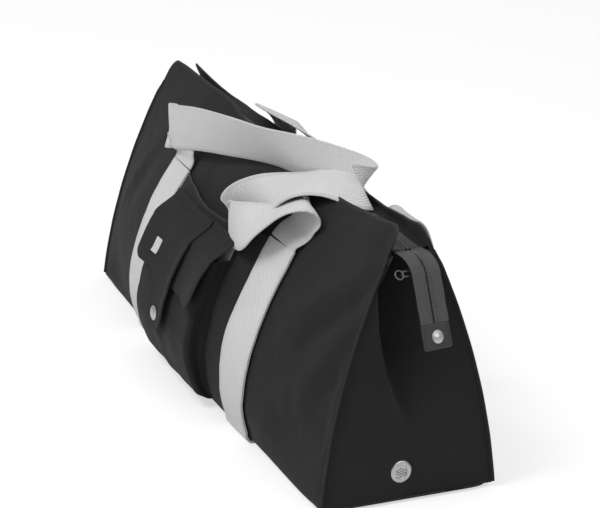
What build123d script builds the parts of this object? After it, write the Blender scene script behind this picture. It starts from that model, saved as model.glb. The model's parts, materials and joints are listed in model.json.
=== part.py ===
from build123d import *
import math
import os

os.makedirs("parts", exist_ok=True)

# Weekender bag, millimetres. X runs along the bag, the pocket side faces -Y, +Z is up.
# It is built about the middle of its base and moved, at the end, to stand centred on the origin.

# Body: a soft A-frame on a flat base
base_length = 628.0
base_depth = 186.0
base_corner_radius = 14.0
body_height = 272.0          # top edge of the front and back panels
top_length = 592.0
top_drift = -16.0            # the slack top has settled towards the far end
top_gap = 20.0               # front to back, between the top edges
front_dip = 14.0             # the handle presses the front edge down
front_dip_centre = 0.3
front_dip_reach = 0.7
back_dip = 22.0
back_dip_roundness = 3.5
belly = 40.0                 # how far the middle of each long panel swells
belly_centre = -0.25         # where it swells most, as a share of the half length
belly_roundness = 1.7
wall_curve = 0.73            # share of the wall's inward run that comes late
seam_drop = 2.2              # the end panels stop this far under the zip
canvas = 1.6
fit = 0.3                    # air between sewn layers

# End panels, pushed in between the long panels
fold_depth = 66.0
fold_start = 52.0            # height where the fold begins

# Base and lining
board_thickness = 2.6
board_inset = 9.0
lining_thickness = 1.0
lining_inset = 7.0
lining_drop = 14.0           # the lining stops this far under the zip

# Seam piping
piping_diameter = 4.2
piping_standoff = 0.35

# Webbing: two straps run up the front, under the base and up the back
webbing_width = 50.0
webbing_thickness = 2.2
strap_spacing = 260.0        # between the centre lines of the two straps
strap_top = 204.0            # height where a strap leaves the panel
strap_air = 0.5
slope_factor = 1.1           # a layer on the sloping wall is this much thicker along Y

# Zip
zip_height = 245.0
tape_width = 12.2
tape_thickness = 0.9
coil_width = 2.6
coil_height = 2.6
coil_part = 1.1              # gap between the two closed rows
seam_height = zip_height - seam_drop
zip_end_inset = 10.0         # from the end panel to the end of the straight zip
facing_thickness = 1.2

# Zip tails, hanging over each end panel
tail_radius = 26.0
tail_sweep = 66.0            # degrees of bend before the tail hangs straight
tail_drop = 44.0
tail_turn = 8.0              # degrees about Z
tail_reach = 8.0             # the bend starts this far past the straight zip
tail_air = 0.4              # from the straight zip to the corner of the turned tail
tab_length = 24.0
tab_width = 31.0
tab_thickness = 3.4
rivet_diameter = 12.6
rivet_height = 2.8
cap_edge = 0.7               # straight edge under a rivet or snap dome

# Sliders and pulls
slider_length = 13.0
slider_width = 10.0
slider_plate = 1.2
slider_air = 0.4
bridge_length = 8.0
pull_wire = 1.4
pull_width = 6.4
pull_length = 16.0
pull_ring_diameter = 10.0
parked_angle = 40.0          # where the second slider sits on the tail's bend

# Slip pocket behind the cargo pocket
slip_top = 202.0
slip_thickness = 1.2
slip_gape = 14.0             # how far its top edge stands off
slip_overlap = 6.0           # sewn under the straps

# Cargo pocket
pocket_centre = -10.0
pocket_width = 150.0
pocket_foot = 12.0
pocket_top = 164.0
pocket_depth_rim = 14.0      # at its foot and its mouth
pocket_depth = 18.0          # halfway up
pocket_fabric = 1.6

# Pocket flap and its closing tongue
flap_overhang = 7.0          # each side of the pocket
flap_drop = 72.0
flap_corner = 14.0
flap_hinge_height = 190.0
flap_air = 1.6               # over the pocket's face
flap_thickness = 2.0
tongue_width = 50.0
tongue_drop = 124.0
tongue_thickness = 2.0
snap_diameter = 16.0
snap_height = 3.2
snap_from_tip = 17.0
tongue_air = 1.0
label_width = 19.0
label_length = 16.0
label_thickness = 0.8
label_gap = 9.0              # from the tongue
stud_diameter = 9.0
stud_height = 1.4

# Handles: each joins the tops of its two straps
handle_gap = 1.4             # at the seam where a handle starts

# Vent eyelets
vent_diameter = 22.6
vent_mesh_diameter = 12.6
vent_height = 31.0
vent_offset = -8.0
vent_hole_diameter = 1.5
vent_hole_pitch = 2.5
vent_lip = 1.6

base_half = base_depth / 2
floor_gap = webbing_thickness + fit          # underside of the base panel
base_top = floor_gap + canvas
wall_foot = base_top + fit
near, far, front, back = 1, -1, -1, 1


def wallX(u, z):
    foot = u * base_length / 2
    top = top_drift + u * top_length / 2
    return foot + (top - foot) * z / body_height


def wallY(u, z):
    rise = z / body_height
    run = (1 - wall_curve) * rise + wall_curve * rise**2
    edge = base_half - (base_half - top_gap / 2) * run
    reach = 1 - belly_centre if u > belly_centre else 1 + belly_centre
    share = 1 - (abs(u - belly_centre) / reach)**belly_roundness
    return edge + belly * share * math.sin(math.pi * rise**0.75)


def wallYAt(x, z):
    return wallY(x / (base_length / 2), z)


def levels(low, high, count):
    return [low + (high - low) * i / (count - 1) for i in range(count)]


solids = {}
spots = {}


def save(solid, name):
    solids[name] = solid


# Long panels
def topEdge(side, u):
    if side == front:
        share = 1 - (abs(u - front_dip_centre) / front_dip_reach)**2
        return body_height - front_dip * max(0.0, share)
    return body_height - back_dip * (1 - abs(u)**back_dip_roundness)


def longPanel(side):
    sections = []
    for u in (-1, -0.8, -0.5, -0.2, 0.15, 0.6, 1):
        heights = levels(wall_foot, topEdge(side, u), 6)
        outer = [(wallX(u, z), side * wallY(u, z), z) for z in heights]
        inner = [(x, y - side * canvas, z) for x, y, z in outer]
        edge = Wire([Spline(*outer), Line(outer[-1], inner[-1]),
                     Spline(*reversed(inner)), Line(inner[0], outer[0])])
        sections.append(Face(edge))
    return loft(sections)


save(longPanel(front), "front_panel")
save(longPanel(back), "back_panel")


# End panels with their vent eyelets
def foldAt(z):
    share = max(0.0, (z - fold_start) / (seam_height - fold_start))
    return fold_depth * math.sin(share * math.pi / 2)**1.3


def endPanel(end):
    sections = []
    for z in (wall_foot, fold_start, 88.0, 128.0, 170.0, 208.0, seam_height):
        half = wallY(end, z) - canvas - fit
        edgeX = wallX(end, z)
        creaseX = edgeX - end * foldAt(z)
        outer = [(edgeX, -half), (creaseX, 0), (edgeX, half)]
        inner = [(x - end * canvas, y) for x, y in reversed(outer)]
        corners = [Vector(x, y, z) for x, y in outer + inner]
        sections.append(Face(Wire.make_polygon(corners, close=True)))
    return loft(sections, ruled=True)


def ventPlane(end):
    lean = math.atan2(wallX(end, 0) - wallX(end, body_height), body_height)
    outward = Vector(end * math.cos(lean), 0, end * math.sin(lean))
    return Plane(origin=(wallX(end, vent_height), vent_offset, vent_height),
                 x_dir=(0, end, 0), z_dir=outward)


def ventRim():
    inside = vent_mesh_diameter / 2 + 0.2
    outside = vent_diameter / 2
    barrel = canvas + 2 * fit
    with BuildSketch(Plane.XZ) as profile:
        with BuildLine():
            Polyline((inside, -barrel), (inside, vent_lip * 0.7))
            ThreePointArc((inside, vent_lip * 0.7), ((inside + outside) / 2, vent_lip),
                          (outside, fit + 0.3))
            Polyline((outside, fit + 0.3), (outside, fit), (inside + 1, fit), (inside + 1, -barrel),
                     (inside, -barrel))
        make_face()
    return revolve(profile.sketch, Axis.Z)


def ventMesh():
    disc = Cylinder(vent_mesh_diameter / 2, 0.6)
    reach = vent_mesh_diameter / 2 - vent_hole_diameter
    holes = [Location(Vector(place.position.X, place.position.Y, 0))
             for place in HexLocations(vent_hole_pitch / 2, 7, 7).local_locations
             if place.position.length < reach]
    return disc - [where * Cylinder(vent_hole_diameter / 2, 2) for where in holes]


def ventWasher():
    ring = Circle(vent_diameter / 2 - 2) - Circle(vent_mesh_diameter / 2 + 1.5)
    return Pos(0, 0, -canvas - fit - 0.8) * extrude(ring, 0.8)


for end, word in ((near, "near"), (far, "far")):
    seat = ventPlane(end)
    hole = seat * Cylinder(vent_mesh_diameter / 2 + 1.5, 12)
    save(endPanel(end) - hole, f"{word}_gusset")
    save(seat * ventRim(), f"{word}_vent_rim")
    save(seat * ventMesh(), f"{word}_vent_mesh")
    save(seat * ventWasher(), f"{word}_vent_washer")


# Seam piping up the four corners
def piping(end, side):
    radius = piping_diameter / 2
    spots = []
    for z in (wall_foot + radius, (wall_foot + seam_height) / 2, seam_height):
        out = radius + piping_standoff
        spots.append((wallX(end, z) + end * out, side * (wallY(end, z) - canvas / 2), z))
    path = ThreePointArc(*spots)
    profile = Plane(origin=path @ 0, z_dir=path % 0) * Circle(radius)
    return sweep(profile, path)


for end, word in ((near, "near"), (far, "far")):
    for side, face in ((front, "front"), (back, "back")):
        save(piping(end, side), f"{word}_{face}_piping")


# Base, stiffening board and lining
def roundedPlate(length, depth, radius, thickness):
    return extrude(RectangleRounded(length, depth, radius), thickness)


save(Pos(0, 0, floor_gap) * roundedPlate(base_length + 2 * canvas, base_depth + 2 * canvas,
                                         base_corner_radius, canvas), "base_panel")
board_length = base_length - 2 * board_inset
board_depth = base_depth - 2 * board_inset
save(Pos(0, 0, wall_foot) * roundedPlate(board_length, board_depth, base_corner_radius,
                                         board_thickness), "base_board")


def liningBlock(inset, foot, top):
    sections = []
    for z in (foot, fold_start, 88.0, 128.0, 170.0, 208.0, top):
        ring = []
        for end in (near, far):
            half = wallY(end, z) - canvas - inset
            panel_half = wallY(end, z) - canvas - fit
            middle = wallY(0, z) - canvas - inset
            crease = wallX(end, z) - end * (canvas + inset + foldAt(z))
            x = crease + end * foldAt(z) * half / panel_half
            ring += [(x, -end * half), (crease, 0), (x, end * half), (0, end * middle)]
        sections.append(Face(Wire.make_polygon([Vector(x, y, z) for x, y in ring], close=True)))
    return loft(sections, ruled=True)


lining_foot = wall_foot + board_thickness + fit
lining_top = zip_height - lining_drop
save(liningBlock(lining_inset, lining_foot, lining_top)
     - liningBlock(lining_inset + lining_thickness, lining_foot + lining_thickness,
                   lining_top + 1), "lining")


slip_half = strap_spacing / 2 - webbing_width / 2 + slip_overlap


def slipStand(x, z):
    share = max(0.0, 1 - (x / slip_half)**2)
    late = max(0.0, (z - 110) / (slip_top - 110))
    return fit * 1.15 + slip_gape * share * late**2


# Webbing straps: one piece each, up the front, under the base and up the back
def strap(x):
    """The strap's layers are spaced along Y, so on the sloping walls they are thicker that way."""
    edges_x = (x - webbing_width / 2, x, x + webbing_width / 2)
    inner_edge = min(edges_x, key=abs)
    inside, outside = [], []
    for side in (back, front):
        run = []
        for z in levels(wall_foot, strap_top, 8):
            wall = max(wallYAt(at, z) for at in edges_x)
            under = slipStand(inner_edge, z) + slip_thickness if side == front else 0
            run.append((side * (wall + under + strap_air), z))
        inside.append(run)
        outside.append([(y + side * webbing_thickness * slope_factor, z) for y, z in run])
    under_base = floor_gap - fit
    inner_feet = [(run[0][0], under_base) for run in inside]
    outer_feet = [(run[0][0], 0) for run in outside]
    edges = [Spline(*inside[0]), Line(inside[0][-1], outside[0][-1]),
             Spline(*reversed(outside[0])), Line(outside[0][0], outer_feet[0]),
             Line(outer_feet[0], outer_feet[1]), Line(outer_feet[1], outside[1][0]),
             Spline(*outside[1]), Line(outside[1][-1], inside[1][-1]),
             Spline(*reversed(inside[1])), Line(inside[1][0], inner_feet[1]),
             Line(inner_feet[1], inner_feet[0]), Line(inner_feet[0], inside[0][0])]
    return Pos(x, 0, 0) * extrude(Plane.YZ * Face(Wire(edges)), webbing_width / 2, both=True)


for end, word in ((near, "near"), (far, "far")):
    save(strap(end * strap_spacing / 2), f"{word}_strap")


# Zip between the two top edges
zip_near = wallX(near, zip_height) - zip_end_inset
zip_far = wallX(far, zip_height) + zip_end_inset
zip_length = zip_near - zip_far
zip_middle = (zip_near + zip_far) / 2
tape_inner = coil_part / 2 + coil_width + fit
tape_outer = tape_inner + tape_width


def facing(side):
    margin = canvas + 4 * fit
    outer = [(wallX(u, zip_height), wallY(u, zip_height) - margin) for u in levels(-1, 1, 9)]
    outer[0] = (zip_far, outer[0][1])
    outer[-1] = (zip_near, outer[-1][1])
    inner = [(zip_near, tape_outer + fit), (zip_far, tape_outer + fit)]
    corners = [Vector(x, side * y, zip_height - facing_thickness / 2) for x, y in outer + inner]
    return extrude(Face(Wire.make_polygon(corners, close=True)), facing_thickness, dir=(0, 0, 1))


for side, face in ((front, "front"), (back, "back")):
    save(facing(side), f"{face}_zip_facing")
    tape = Box(zip_length, tape_width, tape_thickness)
    save(Pos(zip_middle, side * (tape_inner + tape_outer) / 2, zip_height) * tape,
         f"{face}_zip_tape")
    coil = extrude(Plane.YZ * RectangleRounded(coil_width, coil_height, 1.0), zip_length / 2, both=True)
    save(Pos(zip_middle, side * (coil_part + coil_width) / 2, zip_height) * coil,
         f"{face}_zip_coil")


# Main slider, its bridge and its pull
slider_x = zip_far + slider_length / 2 + 2
channel_height = coil_height + 2 * slider_air
slider_height = channel_height + 2 * slider_plate
slider_top = zip_height + slider_height / 2


def sliderBody():
    shell = extrude(RectangleRounded(slider_length, slider_width, 2.5), slider_height / 2, both=True)
    channel = Box(slider_length + 1, coil_part + 2 * coil_width + 2 * slider_air, channel_height)
    slot = Box(slider_length + 1, slider_width + 1, tape_thickness + 2 * slider_air)
    post = Box(slider_length / 3, coil_part - 0.5, slider_height)
    return shell - channel - slot + post


def bridge():
    rise = 2 * pull_wire + 2 * slider_air
    half = bridge_length / 2
    corners = [(-half, 0), (-half, rise), (half, rise), (half, 0)]
    path = FilletPolyline(*[Vector(x, 0, z) for x, z in corners], radius=1.6)
    profile = Plane(origin=path @ 0, z_dir=path % 0) * Circle(pull_wire / 2)
    return sweep(profile, path)


def pull():
    """Wire loop with a ring at its end, lying along -X from its hinge at the origin."""
    radius = pull_wire / 2
    loopShape = Pos(-pull_length / 2, 0) * (
        RectangleRounded(pull_length + pull_wire, pull_width, 2)
        - RectangleRounded(pull_length - pull_wire, pull_width - 2 * pull_wire, 1))
    loop = extrude(loopShape, radius, both=True)
    ring = Torus(pull_ring_diameter / 2 - radius, radius)
    return loop + Pos(-pull_length - pull_ring_diameter / 2 + pull_wire, 0, 0) * ring


hinge_height = slider_top + slider_air + pull_wire / 2
save(Pos(slider_x, 0, zip_height) * sliderBody(), "slider_body")
save(Pos(slider_x, 0, slider_top) * bridge(), "slider_bridge")
save(Pos(slider_x + 1, 0, hinge_height) * Rot(0, 0, 180) * pull(), "slider_pull")
spots["slider_pull"] = Vector(slider_x + 1, 0, hinge_height)
print("slider travel", zip_near - slider_x - slider_length / 2 - 2)


# Zip tails: each bends over its end panel and hangs free, with a riveted tab at its end
def tailShape(low, high, thickness, start=0.0):
    """Strip between two Y values, along the tail's bend and straight drop."""
    half = thickness / 2
    sweepEnd = 90 - tail_sweep
    centre = (tail_reach, -tail_radius)

    def spot(radius, angle):
        return (centre[0] + radius * math.cos(math.radians(angle)),
                centre[1] + radius * math.sin(math.radians(angle)))
    down = (math.sin(math.radians(sweepEnd)), -math.cos(math.radians(sweepEnd)))
    outer = [spot(tail_radius + half, a) for a in (90, 90 - tail_sweep / 2, sweepEnd)]
    inner = [spot(tail_radius - half, a) for a in (90, 90 - tail_sweep / 2, sweepEnd)]
    outerEnd = (outer[2][0] + down[0] * tail_drop, outer[2][1] + down[1] * tail_drop)
    innerEnd = (inner[2][0] + down[0] * tail_drop, inner[2][1] + down[1] * tail_drop)
    with BuildSketch(Plane.XZ) as side:
        with BuildLine():
            Line((start, half), outer[0])
            ThreePointArc(*outer)
            Polyline(outer[2], outerEnd, innerEnd, inner[2])
            ThreePointArc(*reversed(inner))
            Polyline(inner[0], (start, -half), (start, half))
        make_face()
    strip = extrude(side.sketch, (high - low) / 2, both=True)
    return Pos(0, (low + high) / 2, 0) * strip


def tabPlane():
    sweepEnd = math.radians(90 - tail_sweep)
    down = Vector(math.sin(sweepEnd), 0, -math.cos(sweepEnd))
    out = Vector(math.cos(sweepEnd), 0, math.sin(sweepEnd))
    start = Vector(tail_reach, 0, -tail_radius) + out * tail_radius + down * (tail_drop + fit)
    return Plane(origin=start + down * (tab_length / 2), x_dir=down, z_dir=out)


def domedCap(diameter, height):
    """Low dome on a short straight edge, standing on its own plane."""
    radius = diameter / 2
    rise = height - cap_edge
    ball = (radius**2 + rise**2) / (2 * rise)
    return Pos(0, 0, height / 2) * Cylinder(radius, height) & Pos(0, 0, height - ball) * Sphere(ball)


def tailPieces():
    tab = extrude(RectangleRounded(tab_length, tab_width, 1.5), tab_thickness / 2, both=True)
    washer = extrude(Circle(rivet_diameter / 2 - 1) - Circle(1.6), 0.8)
    return {
        "tail_front_tape": tailShape(-tape_outer, -tape_inner, tape_thickness),
        "tail_back_tape": tailShape(tape_inner, tape_outer, tape_thickness),
        "tail_coil": tailShape(-coil_part / 2 - coil_width, coil_part / 2 + coil_width, coil_height,
                               start=coil_height),
        "tail_tab": tabPlane() * tab,
        "tail_rivet": tabPlane() * Pos(0, 0, tab_thickness / 2) * domedCap(rivet_diameter, rivet_height),
        "tail_washer": tabPlane() * Pos(0, 0, -tab_thickness / 2 - 0.8) * washer,
    }


def tailSeat(end):
    corner = tape_outer * math.sin(math.radians(tail_turn))
    start = (zip_near if end == near else zip_far) + end * (corner + tail_air)
    facing_out = (0 if end == near else 180) + tail_turn * end
    return Pos(start, 0, zip_height) * Rot(0, 0, facing_out)


for end, word in ((near, "near"), (far, "far")):
    for name, solid in tailPieces().items():
        save(tailSeat(end) * solid, f"{word}_{name}")


# Second slider, parked under the near tail, with the ring of its pull at the tape's edge
parked_air = 1.2
parked_height = 4.0
parked_radius = tail_radius - coil_height / 2 - parked_air - parked_height / 2
parked = math.radians(parked_angle)
parked_seat = Plane(origin=(tail_reach + parked_radius * math.cos(parked), 0,
                            -tail_radius + parked_radius * math.sin(parked)),
                    x_dir=(math.sin(parked), 0, -math.cos(parked)),
                    z_dir=(math.cos(parked), 0, math.sin(parked)))
block = extrude(RectangleRounded(slider_length - 3, slider_width, 2), parked_height / 2, both=True)
parked_frame = tailSeat(near) * parked_seat.location
save(parked_frame * block, "near_slider")
parked_hinge = parked_frame * Pos(0, -slider_width / 2 - pull_wire / 2 - fit, 0)
save(parked_hinge * Rot(0, 0, 90) * pull(), "near_pull")
spots["near_pull"] = parked_hinge.position
print("near pull axis", Plane(parked_hinge).x_dir)


# Slip pocket: a panel sewn on under the straps, open along its top
def onFront(x, z, stand):
    return Vector(x, -wallYAt(x, z) - stand, z)


def slipPanel():
    sections = []
    for x in levels(-slip_half, slip_half, 5):
        heights = levels(wall_foot + 2, slip_top, 6)
        inner = [onFront(x, z, slipStand(x, z)) for z in heights]
        outer = [spot + Vector(0, -slip_thickness, 0) for spot in inner]
        edge = Wire([Spline(*outer), Line(outer[-1], inner[-1]),
                     Spline(*reversed(inner)), Line(inner[0], outer[0])])
        sections.append(Face(edge))
    return loft(sections)


save(slipPanel(), "slip_pocket")


# Cargo pocket: sides, floor and face, with a flap over its mouth
def slipFaceY(x, z):
    return wallYAt(x, z) + slipStand(x, z) + slip_thickness


def pocketFaceY(z):
    share = (z - pocket_foot) / (pocket_top - pocket_foot)
    depth = pocket_depth_rim + (pocket_depth - pocket_depth_rim) * 4 * share * (1 - share)
    return slipFaceY(pocket_centre, z) + depth


def profileStrip(inner, outer, width, middle):
    """Solid between two (y, z) curves, with its width along X."""
    edges = [Spline(*outer), Line(outer[-1], inner[-1]), Spline(*reversed(inner)), Line(inner[0], outer[0])]
    return Pos(middle, 0, 0) * extrude(Plane.YZ * Face(Wire(edges)), width / 2, both=True)


pocket_heights = levels(pocket_foot, pocket_top, 7)
face_outer = [(-pocketFaceY(z), z) for z in pocket_heights]
face_inner = [(y + pocket_fabric, z) for y, z in face_outer]
pocketFace = profileStrip(face_inner, face_outer, pocket_width, pocket_centre)
save(pocketFace, "cargo_face")

for end, word in ((near, "near"), (far, "far")):
    x = pocket_centre + end * (pocket_width - pocket_fabric) / 2
    behind = [(-max(slipFaceY(x - 1, z), slipFaceY(x + 1, z)) - fit, z) for z in pocket_heights]
    ahead = [(y + fit, z) for y, z in face_inner]
    save(profileStrip(behind, ahead, pocket_fabric, x), f"cargo_{word}_side")

floor_width = pocket_width - 2 * pocket_fabric - 2 * fit
floor_back = -slipFaceY(pocket_centre, pocket_foot + 2 * pocket_fabric) - fit
floor_front = -pocketFaceY(pocket_foot) + pocket_fabric + fit
save(Pos(pocket_centre, (floor_back + floor_front) / 2, pocket_foot + pocket_fabric / 2)
     * Box(floor_width, floor_back - floor_front, pocket_fabric), "cargo_floor")


# Flap over the mouth, and the tongue that snaps it shut
def flapY(z):
    if z <= pocket_top:
        return pocketFaceY(z) + flap_air
    share = (z - pocket_top) / (flap_hinge_height - pocket_top)
    hinge = slipFaceY(pocket_centre, flap_hinge_height) + 2 * fit
    return hinge + (pocketFaceY(pocket_top) + flap_air - hinge) * (1 - share**2 * (3 - 2 * share))


def flapLine(stand, drop):
    steps = round(drop / 9)
    return [(-flapY(z) - stand, z) for z in levels(flap_hinge_height, flap_hinge_height - drop, steps)]


def hangingStrip(stand, thickness, drop, width, middle, corner):
    inner = flapLine(stand, drop)
    outer = flapLine(stand + thickness, drop)
    strip = profileStrip(inner, outer, width, middle)
    outline = Pos(middle, 0, flap_hinge_height - drop / 2) * Rot(90, 0, 0) * extrude(
        RectangleRounded(width, drop, corner), 400, both=True)
    keepTop = Pos(middle, 0, flap_hinge_height) * Box(width, 400, 2 * corner)
    return strip & (outline + keepTop)


flap_width = pocket_width + 2 * flap_overhang
save(hangingStrip(0, flap_thickness, flap_drop, flap_width, pocket_centre, flap_corner), "pocket_flap")
tongue_stand = flap_thickness + tongue_air
save(hangingStrip(tongue_stand, tongue_thickness, tongue_drop, tongue_width, pocket_centre,
                  tongue_width / 2 - 1), "closure_tongue")


def onTongue(z, stand):
    """Plane on the tongue's outer face at a height, looking out."""
    y = -flapY(z) - stand
    slope = (flapY(z + 4) - flapY(z - 4)) / 8
    out = Vector(0, -1, -slope).normalized()
    return Plane(origin=(pocket_centre, y, z), x_dir=(1, 0, 0), z_dir=out)


snap_z = flap_hinge_height - tongue_drop + snap_from_tip
cap_seat = onTongue(snap_z, tongue_stand + tongue_thickness + fit)
save(cap_seat * domedCap(snap_diameter, snap_height), "snap_cap")
socket_height = tongue_stand + flap_air - stud_height - 2 * fit - 0.6
socket_seat = onTongue(snap_z, tongue_stand - fit)
socket = extrude(Circle(snap_diameter / 2 - 3), -socket_height)
save(socket_seat * socket, "snap_socket")
stud_seat = onTongue(snap_z, -flap_air + fit)
save(stud_seat * extrude(Circle(stud_diameter / 2), stud_height, taper=8), "snap_stud")

label_x = pocket_centre - tongue_width / 2 - label_gap - label_width / 2
label_z = (flap_hinge_height - flap_drop + 24)
save(onTongue(label_z, flap_thickness + fit) * Pos(label_x - pocket_centre, 0, 0)
     * extrude(RectangleRounded(label_width, label_length, 1), label_thickness), "flap_tag")


# Handles
def hingeSpot(end, side):
    """Where a handle starts, on the middle of a strap's cut top."""
    x = end * strap_spacing / 2
    wall = max(wallYAt(x + shift, strap_top) for shift in (-webbing_width / 2, 0, webbing_width / 2))
    under = slipStand(x - end * webbing_width / 2, strap_top) + slip_thickness if side == front else 0
    stand = under + strap_air + webbing_thickness * slope_factor / 2
    return (x, side * (wall + stand), strap_top + handle_gap)


flat_across = (1, 0, 0)
flat_back = (-1, 0, 0)
strap_x = strap_spacing / 2
front_route = [
    (hingeSpot(near, front), flat_across),
    ((strap_x, -54, 222), flat_across),
    ((strap_x, -42, 238), flat_across),
    ((128, -46, 246), (0.97, 0.1, -0.1)),
    ((120, -54, 241), (0.9, 0.2, 0.25)),
    ((108, -61, 230), (0.75, 0.3, 0.5)),
    ((92, -71, 222), (0.5, 0.35, 0.75)),
    ((72, -83, 217), (0.1, 0.4, 0.9)),
    ((55, -89, 215), (-0.3, 0.4, 0.85)),
    ((45, -86, 216), (-0.5, 0.4, 0.77)),
    ((43, -78, 219), (-0.45, 0.4, 0.8)),
    ((52, -71, 223), (-0.3, 0.42, 0.87)),
    ((75, -60, 233), (-0.2, 0.45, 0.87)),
    ((105, -44, 248), (-0.1, 0.47, 0.88)),
    ((132, -29, 262), (0, 0.5, 0.87)),
    ((150, -20, 270), (0, 0.5, 0.87)),
    ((159, -14.5, 276), (0, 0.5, 0.87)),
    ((150, -9, 282), (0, 0.5, 0.87)),
    ((128, -16, 277), (0, 0.5, 0.87)),
    ((80, -30, 268), (0, 0.42, 0.9)),
    ((30, -39, 261), (0, 0.38, 0.92)),
    ((-25, -50, 253), (0, 0.33, 0.94)),
    ((-80, -60, 246), (0, 0.25, 0.97)),
    ((-125, -68.4, 240), (0, 0.12, 0.99)),
    ((-155, -70.5, 237), (0, 0.05, 1)),
]
far_front = hingeSpot(far, front)
front_stub = [(far_front, flat_across), ((far_front[0], far_front[1] - 0.6, 232), flat_across)]
back_route = [
    (hingeSpot(far, back), flat_across),
    ((-strap_x, 57, 221), flat_across),
    ((-127, 49.5, 241), (0.98, 0.12, -0.08)),
    ((-116, 35, 258), (0.75, 0.6, -0.25)),
    ((-95, 25, 265.5), (0.4, 0.85, -0.35)),
    ((-68, 28, 264), (0.1, 0.88, -0.48)),
    ((-42, 39, 255), (0, 0.75, -0.66)),
    ((-20, 54, 239), (0, 0.6, -0.8)),
    ((0, 72, 217), (0, 0.5, -0.87)),
    ((18, 91, 188), (0.1, 0.35, -0.93)),
    ((33, 107, 150), (0.3, 0.2, -0.93)),
    ((48, 117, 112), (0.35, 0.1, -0.93)),
    ((68, 121, 80), (0.15, 0, -1)),
    ((94, 121, 68), (-0.4, 0, -0.9)),
    ((117, 117, 82), (-0.8, 0, -0.55)),
    ((127, 111, 116), (-0.97, 0, -0.2)),
    ((129, 103, 160), flat_back),
    ((strap_x, 91, 205), flat_back),
    ((strap_x, 80, 232), flat_back),
    ((strap_x, 67, 243), flat_back),
    ((strap_x, 55, 238), flat_back),
    ((strap_x, 52.5, 224), flat_back),
    (hingeSpot(near, back), flat_back),
]


def webbing(route):
    """Strap through (centre, width direction) stations, as one closed skin of facets."""
    centres = [Vector(*spot) for spot, across in route]
    rings = []
    for i, (spot, across) in enumerate(route):
        along = centres[min(i + 1, len(route) - 1)] - centres[max(i - 1, 0)]
        wide = Vector(*across).normalized() * (webbing_width / 2)
        through = along.cross(wide).normalized() * (webbing_thickness / 2)
        middle = centres[i]
        rings.append([middle - wide - through, middle + wide - through,
                      middle + wide + through, middle - wide + through])
    facets = [rings[0][::-1], rings[-1]]
    for low, high in zip(rings, rings[1:]):
        for k in range(4):
            a, b, c, d = low[k], low[(k + 1) % 4], high[(k + 1) % 4], high[k]
            facets += [[a, b, c], [a, c, d]]
    return Solid(Shell([Face(Wire.make_polygon(facet, close=True)) for facet in facets]))


def routeLength(route):
    spots = [Vector(*spot) for spot, across in route]
    return sum((b - a).length for a, b in zip(spots, spots[1:]))


save(webbing(front_route) + webbing(front_stub), "front_handle")
save(webbing(back_route), "back_handle")
print("handle lengths", routeLength(front_route) + routeLength(front_stub), routeLength(back_route))

spots["flap"] = Vector(pocket_centre, -flapY(flap_hinge_height), flap_hinge_height)
for end, word in ((near, "near"), (far, "far")):
    spots[f"{word}_front_handle"] = Vector(*hingeSpot(end, front))
    spots[f"{word}_back_handle"] = Vector(*hingeSpot(end, back))
    spots[f"{word}_tail"] = (tailSeat(end) * Pos(0, 0, coil_height / 2)).position

# Stand everything centred on the origin, and save it
whole = Compound(list(solids.values())).bounding_box()
shift = Vector(-whole.center().X, -whole.center().Y, -whole.min.Z)
for name, solid in solids.items():
    solid = Location(shift) * solid
    solid.label = name
    export_step(solid, f"parts/{name}.step")
print("base centre", shift)
for name, spot in spots.items():
    print(name, spot + shift)
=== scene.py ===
import json
import math
import bpy
import numpy as np
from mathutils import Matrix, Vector, noise


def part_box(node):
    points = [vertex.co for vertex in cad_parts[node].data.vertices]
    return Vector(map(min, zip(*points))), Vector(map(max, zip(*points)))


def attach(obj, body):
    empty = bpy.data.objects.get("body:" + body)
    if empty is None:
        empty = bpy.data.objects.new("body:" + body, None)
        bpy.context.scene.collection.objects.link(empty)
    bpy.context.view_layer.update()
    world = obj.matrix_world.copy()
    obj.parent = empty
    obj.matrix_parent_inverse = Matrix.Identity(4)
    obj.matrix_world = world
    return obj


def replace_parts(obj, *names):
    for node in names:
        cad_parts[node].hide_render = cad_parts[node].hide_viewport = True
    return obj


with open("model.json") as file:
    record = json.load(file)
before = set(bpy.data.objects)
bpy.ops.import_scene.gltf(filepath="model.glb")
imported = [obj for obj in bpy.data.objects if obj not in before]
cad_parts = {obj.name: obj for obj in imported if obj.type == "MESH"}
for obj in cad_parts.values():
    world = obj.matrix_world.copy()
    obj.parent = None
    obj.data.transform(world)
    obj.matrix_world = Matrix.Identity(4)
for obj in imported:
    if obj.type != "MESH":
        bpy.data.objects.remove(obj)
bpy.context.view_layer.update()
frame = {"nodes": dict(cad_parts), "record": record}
nodes = frame["nodes"]
print("frame loaded:", len(nodes), "nodes")

# Everything below is worked out in millimetres from the middle of the base, then moved into the frame.
baseLow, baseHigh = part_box("base_panel")
baseMiddle = np.array([(baseLow.x + baseHigh.x) / 2, (baseLow.y + baseHigh.y) / 2, 0.0])
front, back, near, far = -1, 1, 1, -1
endWords = ((near, "near"), (far, "far"))
sideWords = ((front, "front"), (back, "back"))


def toFrame(points):
    return baseMiddle + np.asarray(points, float) / 1000


def addObject(name, data):
    made = bpy.data.objects.new(name, data)
    bpy.context.scene.collection.objects.link(made)
    return made


# Camera
view = {"azimuth": 64.774, "elevation": 21.130, "roll": 3.120, "lens": 116.28,
        "position": (1764, -812, 889)}


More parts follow.
